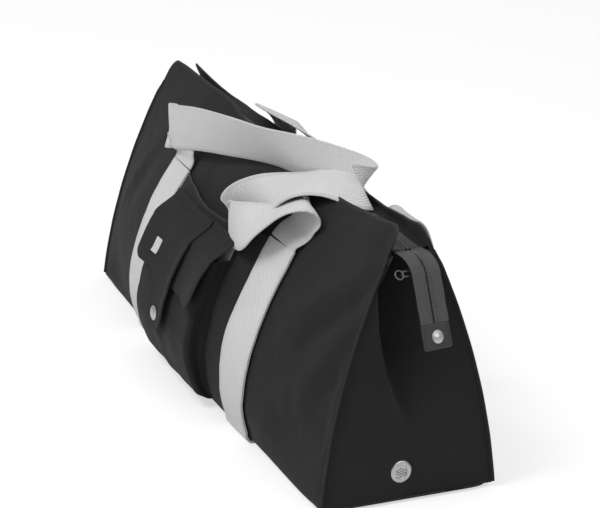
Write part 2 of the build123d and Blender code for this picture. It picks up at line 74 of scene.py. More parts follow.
def addCamera():
    turn, lift, roll = (math.radians(view[key]) for key in ("azimuth", "elevation", "roll"))
    behind = Vector((math.sin(turn) * math.cos(lift), -math.cos(turn) * math.cos(lift), math.sin(lift)))
    level = Vector((math.cos(turn), math.sin(turn), 0))
    upright = behind.cross(level)
    across = level * math.cos(roll) + upright * math.sin(roll)
    above = upright * math.cos(roll) - level * math.sin(roll)
    data = bpy.data.cameras.new("camera")
    data.lens = view["lens"]
    data.sensor_width = 36
    data.clip_end = 50
    camera = addObject("camera", data)
    matrix = camera.matrix_world.to_3x3()
    for column, axis in enumerate((across, above, behind)):
        matrix.col[column] = axis
    camera.matrix_world = matrix.to_4x4()
    camera.location = toFrame(view["position"])
    bpy.context.scene.camera = camera


addCamera()
bpy.context.scene.view_settings.view_transform = "Standard"
print("camera set")


# Shader maths: a wrapped socket that takes ordinary operators
class Wire:
    def __init__(self, shader, socket):
        self.shader = shader
        self.socket = socket

    def maths(self, operation, *others):
        return self.shader.add("ShaderNodeMath", {"operation": operation}, self, *others)

    # A sine wave between 0 and 1
    def wave(self):
        return self.maths("SINE") * 0.5 + 0.5

    def __add__(self, other): return self.maths("ADD", other)
    def __radd__(self, other): return self.maths("ADD", other)
    def __mul__(self, other): return self.maths("MULTIPLY", other)
    def __rmul__(self, other): return self.maths("MULTIPLY", other)
    def __sub__(self, other): return self.maths("SUBTRACT", other)
    def __rsub__(self, other): return self.shader.add("ShaderNodeMath", {"operation": "SUBTRACT"}, other, self)


class Shader:
    def __init__(self, name):
        self.material = bpy.data.materials.new(name)
        self.material.use_nodes = True
        self.tree = self.material.node_tree
        self.surface = self.tree.nodes["Principled BSDF"]

    def add(self, kind, settings, *values, out=0, **named):
        node = self.tree.nodes.new(kind)
        for key, value in settings.items():
            setattr(node, key, value)
        for index, value in enumerate(values):
            self.join(value, node.inputs[index])
        for key, value in named.items():
            self.join(value, node.inputs[key.replace("_", " ")])
        return Wire(self, node.outputs[out])

    def join(self, value, socket):
        if isinstance(value, Wire):
            self.tree.links.new(value.socket, socket)
        elif value is not None:
            socket.default_value = value

    def coordinates(self, layer=None):
        if layer:
            return self.add("ShaderNodeUVMap", {"uv_map": layer})
        return self.add("ShaderNodeTexCoord", {}, out=3)

    def parts(self, vector):
        split = self.add("ShaderNodeSeparateXYZ", {}, vector).socket.node
        return [Wire(self, socket) for socket in split.outputs]

    def blend(self, amount, first, second):
        node = self.tree.nodes.new("ShaderNodeMix")
        node.data_type = "RGBA"
        for value, socket in ((amount, node.inputs[0]), (first, node.inputs[6]), (second, node.inputs[7])):
            self.join(value, socket)
        return Wire(self, node.outputs[2])

    def noise(self, where, scale, detail=3, roughness=0.5):
        return self.add("ShaderNodeTexNoise", {}, Vector=where, Scale=scale, Detail=detail, Roughness=roughness)

    def bump(self, height, distance, strength=1.0, below=None):
        node = {"Height": height, "Distance": distance, "Strength": strength}
        if below:
            node["Normal"] = below
        return self.add("ShaderNodeBump", {}, **node)

    def finish(self, **sockets):
        for key, value in sockets.items():
            self.join(value, self.surface.inputs[key.replace("_", " ")])
        return self.material


def grey(level):
    return (level, level, level, 1.0)


# Finishes. Cloth reads its own UV map, laid out in metres along the threads.
canvasLook = {"thread": 0.00062, "dark": 0.009, "light": 0.021, "wornEdge": 0.05, "speck": 0.05,
              "roughness": 0.84}


def plainWeave(shader, thread):
    cloth = shader.coordinates("cloth")
    along, across, _ = shader.parts(cloth)
    warp = (along * (math.pi / thread)).maths("SINE")
    weft = (across * (math.pi / thread)).maths("SINE")
    over = warp * weft * 0.5 + 0.5
    ridges = warp.maths("ABSOLUTE") * over + weft.maths("ABSOLUTE") * (1 - over)
    return cloth, ridges


def canvasFinish():
    look = canvasLook
    shader = Shader("canvas")
    cloth, ridges = plainWeave(shader, look["thread"])
    place = shader.coordinates()
    mottle = shader.noise(place, 9, 4, 0.6)
    slub = shader.noise(shader.add("ShaderNodeVectorMath", {"operation": "MULTIPLY"}, cloth, (900, 160, 1)), 1, 2)
    lint = shader.noise(place, 700, 2, 0.7)
    tone = ridges * 0.35 + mottle * 0.5 + slub * 0.25
    tone = shader.add("ShaderNodeMapRange", {}, Value=tone, From_Min=0.3, From_Max=0.85)
    color = shader.blend(tone, grey(look["dark"]), grey(look["light"]))
    specks = shader.add("ShaderNodeMapRange", {}, Value=lint, From_Min=0.66, From_Max=0.8)
    color = shader.blend(specks * 0.5, color, grey(look["speck"]))
    worn = shader.add("ShaderNodeAttribute", {"attribute_name": "wear"}, out=2)
    rub = worn * (mottle * 1.1 + 0.25)
    color = shader.blend(rub, color, grey(look["wornEdge"]))
    puckers = shader.bump(shader.noise(place, 60, 3, 0.55), 0.0009, 0.35)
    normal = shader.bump(ridges, 0.00022, 0.55, puckers)
    rough = look["roughness"] + mottle * 0.12
    return shader.finish(Base_Color=color, Roughness=rough, Normal=normal,
                         Sheen_Weight=0.05, Sheen_Roughness=0.5, Specular_IOR_Level=0.16)


webbingLook = {"twill": 0.0027, "rib": 0.0011, "dark": 0.39, "light": 0.69, "worn": 0.30}


def webbingFinish():
    shader = Shader("webbing")
    cloth = shader.coordinates("cloth")
    along, across, _ = shader.parts(cloth)
    place = shader.coordinates()
    twist = shader.noise(place, 260, 3) * 0.0022
    slant = (along + across * 0.9 + twist) * (2 * math.pi / webbingLook["twill"])
    twill = slant.wave()
    crossing = (across - along * 0.25) * (2 * math.pi / webbingLook["rib"])
    ribs = crossing.wave()
    height = twill * 0.75 + ribs * 0.25
    soil = shader.noise(place, 22, 4, 0.6)
    fuzz = shader.noise(place, 900, 3, 0.7)
    tone = twill * 0.38 + ribs * 0.08 + fuzz * 0.5 + soil * 0.2
    tone = shader.add("ShaderNodeMapRange", {}, Value=tone, From_Min=0.2, From_Max=0.85)
    color = shader.blend(tone, grey(webbingLook["dark"]), grey(webbingLook["light"]))
    worn = shader.add("ShaderNodeAttribute", {"attribute_name": "wear"}, out=2)
    color = shader.blend(worn * 0.35, color, grey(webbingLook["worn"]))
    normal = shader.bump(height, 0.0005, 0.75, shader.bump(fuzz, 0.0003, 0.3))
    return shader.finish(Base_Color=color, Roughness=soil * 0.1 + 0.82, Normal=normal,
                         Sheen_Weight=0.12, Specular_IOR_Level=0.2)


tapeLook = {"rib": 0.0021, "pick": 0.0012, "dark": 0.022, "light": 0.085}


def tapeFinish():
    shader = Shader("zip_tape")
    cloth = shader.coordinates("cloth")
    along, across, _ = shader.parts(cloth)
    ribs = (across * (2 * math.pi / tapeLook["rib"])).wave()
    picks = (along * (2 * math.pi / tapeLook["pick"])).wave()
    fluff = shader.noise(shader.coordinates(), 300, 3)
    color = shader.blend(ribs * 0.6 + fluff * 0.4, grey(tapeLook["dark"]), grey(tapeLook["light"]))
    normal = shader.bump(ribs * 0.7 + picks * 0.3, 0.0005, 0.8)
    return shader.finish(Base_Color=color, Roughness=fluff * 0.15 + 0.62, Normal=normal, Sheen_Weight=0.1)


def mouldedFinish(name, level, roughness, grain):
    shader = Shader(name)
    place = shader.coordinates()
    cloud = shader.noise(place, 120, 3)
    color = shader.blend(cloud, grey(level * 0.8), grey(level * 1.25))
    normal = shader.bump(shader.noise(place, grain, 2), 0.0002, 0.4)
    return shader.finish(Base_Color=color, Roughness=cloud * 0.15 + roughness, Normal=normal)


def metalFinish(name, level, roughness):
    shader = Shader(name)
    place = shader.coordinates()
    streaks = shader.add("ShaderNodeVectorMath", {"operation": "MULTIPLY"}, place, (250, 250, 2600))
    brushed = shader.noise(streaks, 1, 3, 0.6)
    stain = shader.noise(place, 220, 4, 0.65)
    color = shader.blend(stain, grey(level * 0.72), grey(level * 1.12))
    normal = shader.bump(brushed * 0.6 + stain * 0.4, 0.00008, 0.5)
    return shader.finish(Base_Color=color, Roughness=brushed * 0.14 + stain * 0.12 + roughness,
                         Normal=normal, Metallic=1.0)


def wovenFinish(name, dark, light, thread):
    shader = Shader(name)
    cloth, ridges = plainWeave(shader, thread)
    cloud = shader.noise(shader.coordinates(), 45, 3)
    color = shader.blend(ridges * 0.5 + cloud * 0.5, grey(dark), grey(light))
    return shader.finish(Base_Color=color, Roughness=cloud * 0.1 + 0.8,
                         Normal=shader.bump(ridges, 0.0002, 0.5), Sheen_Weight=0.1)


def threadFinish(name, level):
    shader = Shader(name)
    twist = shader.noise(shader.coordinates(), 1800, 2)
    color = shader.blend(twist, grey(level * 0.7), grey(level * 1.3))
    return shader.finish(Base_Color=color, Roughness=twist * 0.1 + 0.6, Normal=shader.bump(twist, 0.0001, 0.5))


finishes = {
    "canvas": canvasFinish(),
    "webbing": webbingFinish(),
    "zip_tape": tapeFinish(),
    "zip_coil": mouldedFinish("zip_coil", 0.11, 0.34, 900),
    "tab_leather": mouldedFinish("tab_leather", 0.026, 0.5, 1500),
    "board": mouldedFinish("board", 0.05, 0.6, 700),
    "silver": metalFinish("silver", 0.58, 0.24),
    "gunmetal": metalFinish("gunmetal", 0.16, 0.3),
    "lining": wovenFinish("lining", 0.30, 0.46, 0.0005),
    "tag": wovenFinish("tag", 0.42, 0.60, 0.0004),
    "thread_black": threadFinish("thread_black", 0.022),
    "thread_grey": threadFinish("thread_grey", 0.42),
}
for entry in frame["record"]["subparts"]:
    kept = nodes[entry["node"]]
    kept.data.materials.clear()
    kept.data.materials.append(finishes[entry["material_slot"]])
# The sliders and pulls get the dark gunmetal finish. On the near pull this darkness is partly real metal colour
# and partly painted shade for the recess it sits in.
for node in ("slider_body", "slider_bridge", "slider_pull", "near_slider", "near_pull"):
    nodes[node].data.materials[0] = finishes["gunmetal"]
print("finishes made")


# Meshes
def unit(rows):
    return rows / np.maximum(np.linalg.norm(rows, axis=-1, keepdims=True), 1e-9)


def gridNormals(grid):
    down = np.gradient(grid, axis=0)
    along = np.gradient(grid, axis=1)
    return unit(np.cross(along, down))


def runAlong(path):
    return np.concatenate([[0], np.cumsum(np.linalg.norm(np.diff(path, axis=0), axis=1))])


def alongPath(stops, run, rows):
    return np.stack([np.interp(stops, run, rows[:, k]) for k in range(3)], -1)


def arcLengths(grid, axis):
    steps = np.linalg.norm(np.diff(grid, axis=axis), axis=-1)
    pad = [(0, 0), (0, 0)]
    pad[axis] = (1, 0)
    return np.cumsum(np.pad(steps, pad), axis=axis)


def makeObject(name, points, faces, finish, body, cloth=None, wear=None, replaced=(), crease=50):
    mesh = bpy.data.meshes.new(name)
    mesh.from_pydata(toFrame(points).tolist(), [], faces)
    if cloth is not None:
        layer = mesh.uv_layers.new(name="cloth")
        corners = np.zeros(len(mesh.loops), int)
        mesh.loops.foreach_get("vertex_index", corners)
        layer.data.foreach_set("uv", (np.asarray(cloth)[corners] / 1000).ravel().astype(np.float32))
    marks = mesh.attributes.new("wear", "FLOAT", "POINT")
    marks.data.foreach_set("value", np.zeros(len(points), np.float32) if wear is None
                           else np.asarray(wear, np.float32).ravel())
    mesh.materials.append(finishes[finish])
    mesh.shade_smooth()
    mesh.set_sharp_from_angle(angle=math.radians(crease))
    piece = addObject(name, mesh)
    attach(piece, body)
    if replaced:
        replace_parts(piece, *replaced)
    return piece


# grid is the face that shows, in rows; facing is a point or direction test for which way is out.
def clothPiece(name, grid, thickness, finish, body, facing, wear=None, replaced=()):
    rows, columns, _ = grid.shape
    normals = gridNormals(grid)
    if np.sum(normals * facing(grid)) < 0:
        grid = grid[:, ::-1]
        normals = gridNormals(grid)
        wear = None if wear is None else wear[:, ::-1]
    inner = grid - normals * thickness
    points = np.concatenate([grid.reshape(-1, 3), inner.reshape(-1, 3)])
    cloth = np.stack([arcLengths(grid, 1), arcLengths(grid, 0)], axis=-1).reshape(-1, 2)
    size = rows * columns
    index = np.arange(size).reshape(rows, columns)
    a, b, c, d = index[:-1, :-1], index[:-1, 1:], index[1:, 1:], index[1:, :-1]
    outside = np.stack([a, b, c, d], -1).reshape(-1, 4)
    inside = outside[:, ::-1] + size
    ring = np.concatenate([index[0, :-1], index[:-1, -1], index[-1, :0:-1], index[:0:-1, 0]])
    after = np.roll(ring, -1)
    rim = np.stack([after, ring, ring + size, after + size], -1)
    faces = np.concatenate([outside, inside, rim]).tolist()
    allWear = None if wear is None else np.concatenate([wear.ravel(), wear.ravel()])
    return makeObject(name, points, faces, finish, body, np.concatenate([cloth, cloth]), allWear, replaced)


def outward(x=0.0, y=0.0, z=0.0):
    return lambda grid: np.array([x, y, z], float)


# Catmull-Rom through the stations.
def smoothRun(stations, perSpan):
    rows = np.asarray(stations, float)
    rows = np.concatenate([[2 * rows[0] - rows[1]], rows, [2 * rows[-1] - rows[-2]]])
    found = []
    for i in range(1, len(rows) - 2):
        for t in np.linspace(0, 1, perSpan, endpoint=False):
            p, q, r, s = rows[i - 1:i + 3]
            found.append(0.5 * (2 * q + (r - p) * t + (2 * p - 5 * q + 4 * r - s) * t**2
                                + (3 * q - p - 3 * r + s) * t**3))
    found.append(rows[-2])
    return np.array(found)


# Closed strip with rounded edges along its centres, each with its own width direction.
def ribbon(name, centres, across, width, thickness, finish, body, replaced=(), cup=0.0, rimWear=0.0):
    along = unit(np.gradient(centres, axis=0))
    wide = unit(across - along * np.sum(across * along, -1, keepdims=True))
    through = np.cross(along, wide)
    half, lip = width / 2, thickness / 2
    flat = np.linspace(-half + lip, half - lip, 13)
    bend = np.linspace(-math.pi / 2, math.pi / 2, 5)[1:-1]
    profile = [(x, lip) for x in flat[::-1]]
    profile += [(-half + lip - lip * math.cos(t), -lip * math.sin(t)) for t in bend]
    profile += [(x, -lip) for x in flat]
    profile += [(half - lip + lip * math.cos(t), lip * math.sin(t)) for t in bend]
    sway = [cup * (1 - (x / half)**2) for x, _ in profile]
    rings = np.stack([centres + wide * x + through * (y + s) for (x, y), s in zip(profile, sway)], axis=1)
    count, sides, _ = rings.shape
    points = rings.reshape(-1, 3)
    index = np.arange(count * sides).reshape(count, sides)
    onward = np.roll(index, -1, axis=1)
    faces = np.stack([index[:-1], onward[:-1], onward[1:], index[1:]], -1).reshape(-1, 4).tolist()
    faces += [index[0][::-1].tolist(), index[-1].tolist()]
    run = runAlong(centres)
    cloth = np.stack([np.repeat(run, sides), np.tile([x for x, _ in profile], count)], -1)
    wear = np.tile([rimWear if abs(x) > half - 1.2 else 0 for x, _ in profile], count)
    return makeObject(name, points, faces, finish, body, cloth, wear, replaced)


# The walls: foot and top lines, the belly between them, and the soft folds that run over it
walls = {"length": 628, "depth": 186, "height": 272, "topLength": 592, "drift": -16, "topGap": 20,
         "frontDip": 14, "dipCentre": 0.3, "dipReach": 0.7, "backDip": 22, "backRoundness": 3.5,
         "belly": 40, "bellyCentre": -0.25, "bellyRoundness": 1.7, "curve": 0.73,
         "foot": 4.4, "seamTop": 242.8, "canvas": 1.6, "hem": 20, "hemRise": 0.8, "topCorner": 13,
         "farCorner": 16, "farDip": 4, "farPoint": 4.5}
# Each fold: where it starts and ends along the wall and up it, how wide it is and how far it stands out
wallFolds = {
    front: [(268, 226, 186, 150, 13, 3.2), (286, 210, 214, 128, 11, -4.2), (280, 170, 236, 92, 12, 2.6),
            (292, 140, 262, 80, 11, -2.6), (300, 86, 214, 34, 22, -4.0), (210, 60, 170, 20, 18, 2.0),
            (-196, 210, -250, 120, 14, -2.2), (-236, 190, -286, 96, 12, 2.4), (-180, 60, -280, 26, 20, -2.4),
            (60, 235, 40, 180, 16, -2.4), (-70, 235, -60, 190, 14, -1.6)],
    back: [(250, 220, 180, 120, 16, -3.0), (280, 160, 210, 60, 16, 2.6), (-240, 220, -170, 110, 18, -3.0),
           (-285, 150, -220, 50, 14, 2.4), (40, 200, -30, 90, 30, -3.0), (-60, 60, 80, 40, 20, 2.0)],
}


def wallX(u, z):
    foot = u * walls["length"] / 2
    return foot + (walls["drift"] + u * walls["topLength"] / 2 - foot) * z / walls["height"]


def wallU(x, z):
    rise = z / walls["height"]
    half = walls["length"] / 2 + (walls["topLength"] - walls["length"]) / 2 * rise
    return np.clip((x - walls["drift"] * rise) / half, -1, 1)


def wallY(u, z):
    rise = np.clip(z / walls["height"], 0, 1)
    run = (1 - walls["curve"]) * rise + walls["curve"] * rise**2
    edge = walls["depth"] / 2 - (walls["depth"] - walls["topGap"]) / 2 * run
    reach = np.where(u > walls["bellyCentre"], 1 - walls["bellyCentre"], 1 + walls["bellyCentre"])
    share = 1 - (np.abs(u - walls["bellyCentre"]) / reach)**walls["bellyRoundness"]
    return edge + walls["belly"] * share * np.sin(math.pi * rise**0.75)


def panelTop(side, u):
    fromEnd = (1 - np.abs(u)) * walls["topLength"] / 2
    radius = np.where(u < 0, walls["farCorner"], walls["topCorner"])
    cut = radius - np.sqrt(np.maximum(0, radius**2 - np.maximum(0, radius - fromEnd)**2))
    if side == front:
        dip = 1 - ((u - walls["dipCentre"]) / walls["dipReach"])**2
        return walls["height"] - cut - walls["frontDip"] * np.maximum(0, dip)
    late = smoothStep(-u, 0, 0.5)
    dip = walls["backDip"] + walls["farDip"] * late
    point = walls["backRoundness"] + walls["farPoint"] * late
    return walls["height"] - cut - dip * (1 - np.abs(u)**point)


def smoothStep(value, low, high):
    t = np.clip((value - low) / (high - low), 0, 1)
    return t * t * (3 - 2 * t)


def ripple(x, z, size, seed):
    flat = [noise.noise(Vector((a / size, b / size, seed))) for a, b in zip(np.ravel(x), np.ravel(z))]
    return np.array(flat).reshape(np.shape(x))


def foldRelief(x, z, folds):
    relief = np.zeros(np.shape(x))
    for x0, z0, x1, z1, width, height in folds:
        length = math.hypot(x1 - x0, z1 - z0)
        along = ((x - x0) * (x1 - x0) + (z - z0) * (z1 - z0)) / length**2
        aside = ((x - x0) * (z1 - z0) - (z - z0) * (x1 - x0)) / length
        relief += height * np.exp(-(aside / width)**2 - (2 * along - 1)**4)
    return relief


# How far the outside of a long panel stands from the middle, folds and all.
def wallFace(side, x, z):
    u = wallU(x, z)
    relief = foldRelief(x, z, wallFolds[side]) + ripple(x, z, 46, side * 3.1) * 2.0 + ripple(x, z, 15, 7) * 0.5
    held = smoothStep((1 - np.abs(u)) * walls["length"] / 2, 0, 16) * smoothStep(z, walls["foot"], 22)
    hemStart = panelTop(side, u) - walls["hem"]
    hem = walls["hemRise"] * smoothStep(z, hemStart, hemStart + 1.6)
    return wallY(u, z) + relief * held + hem


def longPanel(side, node):
    u = np.sin(np.linspace(-math.pi / 2, math.pi / 2, 220))
    share = np.linspace(0, 1, 84)[:, None]
    top = panelTop(side, u)
    z = walls["foot"] + (top - walls["foot"]) * share
    x = wallX(u, z)
    y = side * wallFace(side, x, z)
    wear = 0.75 * smoothStep(z, top - 2.4, top - 0.2) + 0.35 * smoothStep(-z, -9.0, -5.0)
    return clothPiece(f"{node}_cloth", np.stack([x, y, z], -1), walls["canvas"], "canvas", "bag",
                      outward(y=side), wear, (node,))


for side, node in ((front, "front_panel"), (back, "back_panel")):
    longPanel(side, node)
print("long panels made")


# End panels: flat lips in front, a deep fold pushed in behind them, and a dimple for the eyelet
ends = {"foldDepth": 66, "foldStart": 60, "inset": 1.9, "bow": 3.0,
        "lip": [(52, 4), (73, -6), (100, -17), (123, -23), (173, -32), (212, -34), (243, -18)],
        "crease": 12, "ventHeight": 31, "ventOffset": -8, "dimple": 3.2, "columns": 90}
endFolds = [(-70, 62, -20, 44, 10, -2.4), (-84, 40, -40, 22, 9, 1.8), (-74, 110, -40, 84, 14, 1.8),
            (-50, 150, -30, 110, 8, -1.4), (40, 70, 78, 24, 13, -2.6), (24, 92, 60, 60, 12, 2.4)]


def foldAt(z):
    share = np.clip((z - ends["foldStart"]) / (walls["seamTop"] - ends["foldStart"]), 0, 1)
    return ends["foldDepth"] * np.sin(share * math.pi / 2)**1.3


def endPanel(end, node):
    lipHeights, lipPlaces = zip(*ends["lip"])
    rows = []
    for z in np.linspace(walls["foot"], walls["seamTop"], 96):
        half = float(wallY(1.0, z)) - ends["inset"]
        lip = max(float(np.interp(z, lipHeights, lipPlaces)), -half + 3)
        depth = float(foldAt(z))
        crease = min(lip + ends["crease"], half - 6)
        line = np.array([(-half, 0), ((lip - half) / 2, -1.5), (lip - 2, -0.5), (lip, 0.5 + depth * 0.06),
                         (crease - 4, depth * 0.86), (crease, depth), (crease + 6, depth * 0.97),
                         ((crease + half) / 2, depth * 0.48), (half, 0)])
        line = smoothRun(line, 24)
        reach = 9 + int(24 * float(smoothStep(-z, -130, -60)))
        kernel = np.hanning(2 * reach + 1)
        soft = np.stack([np.convolve(np.pad(c, reach, mode="edge"), kernel / kernel.sum(), "valid")
                         for c in line.T], -1)
        soft[0], soft[-1] = line[0], line[-1]
        run = runAlong(soft)
        even = np.linspace(0, run[-1], ends["columns"])
        y = np.interp(even, run, soft[:, 0])
        inward = np.interp(even, run, soft[:, 1])
        held = smoothStep(half - np.abs(y), 0, 14) * smoothStep(z, walls["foot"], 18)
        level = np.full(ends["columns"], z)
        relief = foldRelief(y, level, endFolds) + ripple(y, level, 34, end * 5.3) * 1.6
        bow = ends["bow"] * math.sin(math.pi * min(1, z / 140)) * (1 - (y / half)**2)
        fromVent = np.hypot(y - ends["ventOffset"], z - ends["ventHeight"])
        nearVent = smoothStep(-fromVent, -15, -10.5)
        stand = (relief + bow) * held * (1 - nearVent)
        dimple = ends["dimple"] * smoothStep(-fromVent, -10.5, -8.2)
        x = float(wallX(float(end), z)) - end * (inward - stand + dimple)
        rows.append(np.stack([x, y, level], -1))
    grid = np.array(rows)
    wear = np.zeros(grid.shape[:2])
    wear[-3:] = 0.5
    panel = clothPiece(f"{node}_cloth", grid, walls["canvas"], "canvas", "bag", outward(x=end), wear, (node,))


for end, word in endWords:
    endPanel(end, f"{word}_gusset")
print("end panels made")


# Seams at the four corners: a pressed flange, with its edge worn pale
seams = {"width": 4.6, "thickness": 2.6, "stand": 1.3, "easeFrom": 14, "roll": 0.18}


def cornerSeam(end, side, node):
    z = np.linspace(walls["foot"] + 2, walls["seamTop"] + 1.5, 70)
    u = np.full(70, float(end))
    out = seams["stand"] * (1 - 2.2 * smoothStep(z, walls["seamTop"] - seams["easeFrom"], walls["seamTop"]))
    centres = np.stack([wallX(u, z) + end * out * 0.9, side * (wallY(u, z) + out * 0.2), z], -1)
    centres[:, 0] += np.sin(z / 7.0) * seams["roll"]
    across = np.tile([end * 0.86, side * 0.5, 0.0], (70, 1))
    return ribbon(f"{node}_flange", centres, across, seams["width"], seams["thickness"], "canvas", "bag",
                  (node,), rimWear=0.3)


for end, word in endWords:
    for side, face in sideWords:
        cornerSeam(end, side, f"{word}_{face}_piping")


# Base: a soft plate with a corded edge
base = {"low": 2.5, "thickness": 1.1, "edge": 1.25, "cord": 2.4, "stand": 0.5, "squareness": 0.12}


def roundedRing(length, depth, count):
    turn = np.linspace(0, 2 * math.pi, count, endpoint=False) + 0.001
    square = np.stack([np.cos(turn), np.sin(turn)], -1)
    square = np.sign(square) * np.abs(square)**base["squareness"]
    return square * (length / 2, depth / 2)


def basePanel():
    ring = roundedRing(walls["length"], walls["depth"], 200)
    ring = np.concatenate([ring, ring[:1]])
    flat = ring[None] * np.linspace(0.02, 1, 40)[:, None, None]
    z = base["low"] + 0.35 * (1 + ripple(flat[..., 0], flat[..., 1], 60, 2))
    grid = np.concatenate([flat, z[..., None]], -1)
    return clothPiece("base_panel_cloth", grid, base["thickness"], "canvas", "bag", outward(z=-1),
                      None, ("base_panel",))


basePanel()
ring = roundedRing(walls["length"] + base["stand"], walls["depth"] + base["stand"], 240)
ring = np.concatenate([ring, ring[:2]])
edge = np.concatenate([ring, np.full((len(ring), 1), base["low"] + base["edge"])], -1)
ribbon("base_edge_cord", edge, np.tile([0.0, 0.0, 1.0], (len(edge), 1)), base["cord"], base["cord"], "canvas",
       "bag", rimWear=0.4)
print("base made")


# Slip pocket, sewn under the two straps and gaping along its top
slip = {"half": 111, "foot": 6.4, "top": 201.5, "gape": 14, "thickness": 1.2, "stand": 0.35, "dip": 7}


def slipStand(x, z):
    share = np.maximum(0, 1 - (np.asarray(x) / slip["half"])**2)
    late = np.maximum(0, (np.asarray(z) - 110) / 92)
    return slip["stand"] + slip["gape"] * share * late**2


def slipFace(x, z):
    return wallFace(front, x, z) + slipStand(x, z) + slip["thickness"] + ripple(x, z, 30, 11) * 0.3 + 0.4


def slipTop(x):
    return slip["top"] - slip["dip"] * np.cos(x / slip["half"] * math.pi / 2)**2


def slipPocket():
    x = np.linspace(-slip["half"], slip["half"], 110)
    top = slipTop(x)
    z = slip["foot"] + (top - slip["foot"]) * np.linspace(0, 1, 76)[:, None]
    xs = np.broadcast_to(x, z.shape)
    hem = 0.7 * smoothStep(z, top - 14, top - 12.8)
    y = -(slipFace(xs, z) + hem)
    wear = 0.8 * smoothStep(z, top - 2.0, top - 0.2)
    pocket = clothPiece("slip_pocket_cloth", np.stack([xs, y, z], -1), slip["thickness"], "canvas", "bag",
                        outward(y=-1), wear, ("slip_pocket",))


slipPocket()
print("slip pocket made")


# Webbing straps, each one band up the front, under the base and up the back
straps = {"width": 50, "thickness": 2.2, "top": 204, "spacing": 260, "air": 0.7, "turnHeight": 12, "sole": 0.1}


def strapStand(side, x, z, middle):
    under = 0
    if side == front:
        inner = min((middle - 25, middle, middle + 25), key=abs)
        under = slipStand(inner, z) + slip["thickness"] + 0.5
    return wallFace(side, x, z) + under + straps["air"] + straps["thickness"]


def strap(middle, node):
    across = np.linspace(-straps["width"] / 2, straps["width"] / 2, 15)
    heights = np.linspace(straps["top"], straps["turnHeight"], 84)
    x = middle + np.broadcast_to(across, (84, 15))
    z = np.broadcast_to(heights[:, None], (84, 15))
    runs = {}
    for side in (front, back):
        runs[side] = np.stack([x, side * strapStand(side, x, z, middle), z], -1)
    turn = np.linspace(0, 1, 9)[1:-1]
    foot = []
    for side in (front, back):
        y = runs[side][-1, :, 1]
        under = side * 80.0
        corner = []
        for t in turn:
            angle = t * math.pi / 2
            sunk = straps["turnHeight"] - (straps["turnHeight"] - straps["sole"]) * math.sin(angle)
            slid = (1 - math.cos(angle)) * 9
            corner.append(np.stack([x[0], y - side * slid, np.full(15, sunk)], -1))
        corner.append(np.stack([x[0], np.full(15, under), np.full(15, straps["sole"])], -1))
        foot.append(np.array(corner))
    grid = np.concatenate([runs[front], foot[0], foot[1][::-1], runs[back][::-1]])
    middlePoint = np.array([0, 0, 150.0])
    wear = np.zeros(grid.shape[:2])
    wear[:, [0, -1]] = 0.6
    band = clothPiece(f"{node}_webbing", grid, straps["thickness"], "webbing", "bag",
                      lambda rows: rows - middlePoint, wear, (node,))


for end, word in endWords:
    strap(end * straps["spacing"] / 2, f"{word}_strap")
print("straps made")


# Cargo pocket: a bag of cloth with folded sides, its mouth under the flap
cargo = {"middle": -10, "half": 75, "foot": 12, "top": 164, "rimDepth": 14, "depth": 18, "fabric": 1.6,
         "corner": 5, "bellows": 4.5, "roundFoot": 7, "puff": 1.6}


# Distance of the pocket's front from the middle of the bag.
def cargoFace(x, z):
    share = np.clip((z - cargo["foot"]) / (cargo["top"] - cargo["foot"]), 0, 1)
    depth = cargo["rimDepth"] + (cargo["depth"] - cargo["rimDepth"]) * 4 * share * (1 - share)
    across = (x - cargo["middle"]) / cargo["half"]
    middle = slipFace(np.full(np.shape(x), float(cargo["middle"])), z)
    soft = ripple(x, z, 26, 21) * 1.5 + ripple(x, z, 60, 4) * 1.2
    pillow = cargo["puff"] * (1 - across**2) * np.sin(math.pi * share)**0.6
    return middle + depth - 0.9 + pillow + soft * np.clip(1 - across**4, 0, 1)


def cargoPocket():
    half, corner = cargo["half"], cargo["corner"]
    turn = np.linspace(0, math.pi / 2, 7)
    side = [(half - 0.5, 0.0, 0), (half - 1.5, 0.16, 0), (half - cargo["bellows"], 0.42, 0),
            (half - 1.2, 0.66, 0), (half, 0.86, 0)]
    bend = [(half - corner + corner * math.cos(t), 1.0, math.sin(t)) for t in turn]
    faceX = np.linspace(half - corner, corner - half, 70)[1:-1]
    profile = side + bend + [(x, 1.0, 1.0) for x in faceX] + [(-x, d, k) for x, d, k in (side + bend)[::-1]]
    profile = np.array(profile)
    heights = cargo["foot"] + (cargo["top"] - cargo["foot"]) * np.linspace(0, 1, 90)**1.25
    rows = []
    for z in heights:
        lift = 1.0
        if z < cargo["foot"] + cargo["roundFoot"]:
            t = (z - cargo["foot"]) / cargo["roundFoot"]
            lift = math.sqrt(max(0.0, 1 - (1 - t)**2))
        x = cargo["middle"] + profile[:, 0] - 0.8 * np.sign(profile[:, 0]) * ripple(profile[:, 1] * 9, np.full(
            len(profile), z), 14, 3)
        zs = np.full(len(x), z)
        root = slipFace(x, zs) + 0.4
        face = cargoFace(x, zs) + 0.7 * smoothStep(zs, cargo["top"] - 13, cargo["top"] - 12)
        reach = face - root - corner
        out = np.where(profile[:, 1] < 1, profile[:, 1] / 0.86 * reach, reach + corner * profile[:, 2])
        rows.append(np.stack([x, -(root + np.maximum(out, 0) * lift), zs], -1))
    grid = np.array(rows)
    wear = 0.5 * smoothStep(grid[..., 2], cargo["top"] - 2.5, cargo["top"])
    fromPoint = np.array([cargo["middle"], -70.0, 90.0])
    return clothPiece("cargo_pocket_cloth", grid, cargo["fabric"] - 0.3, "canvas", "bag",
                      lambda rows: rows - fromPoint, wear,
                      ("cargo_face", "cargo_near_side", "cargo_far_side", "cargo_floor"))


pocket = cargoPocket()


def onGrid(xs, zs, distance):
    x, z = np.meshgrid(xs, zs)
    return np.stack([x, -distance(x, z), z], -1)


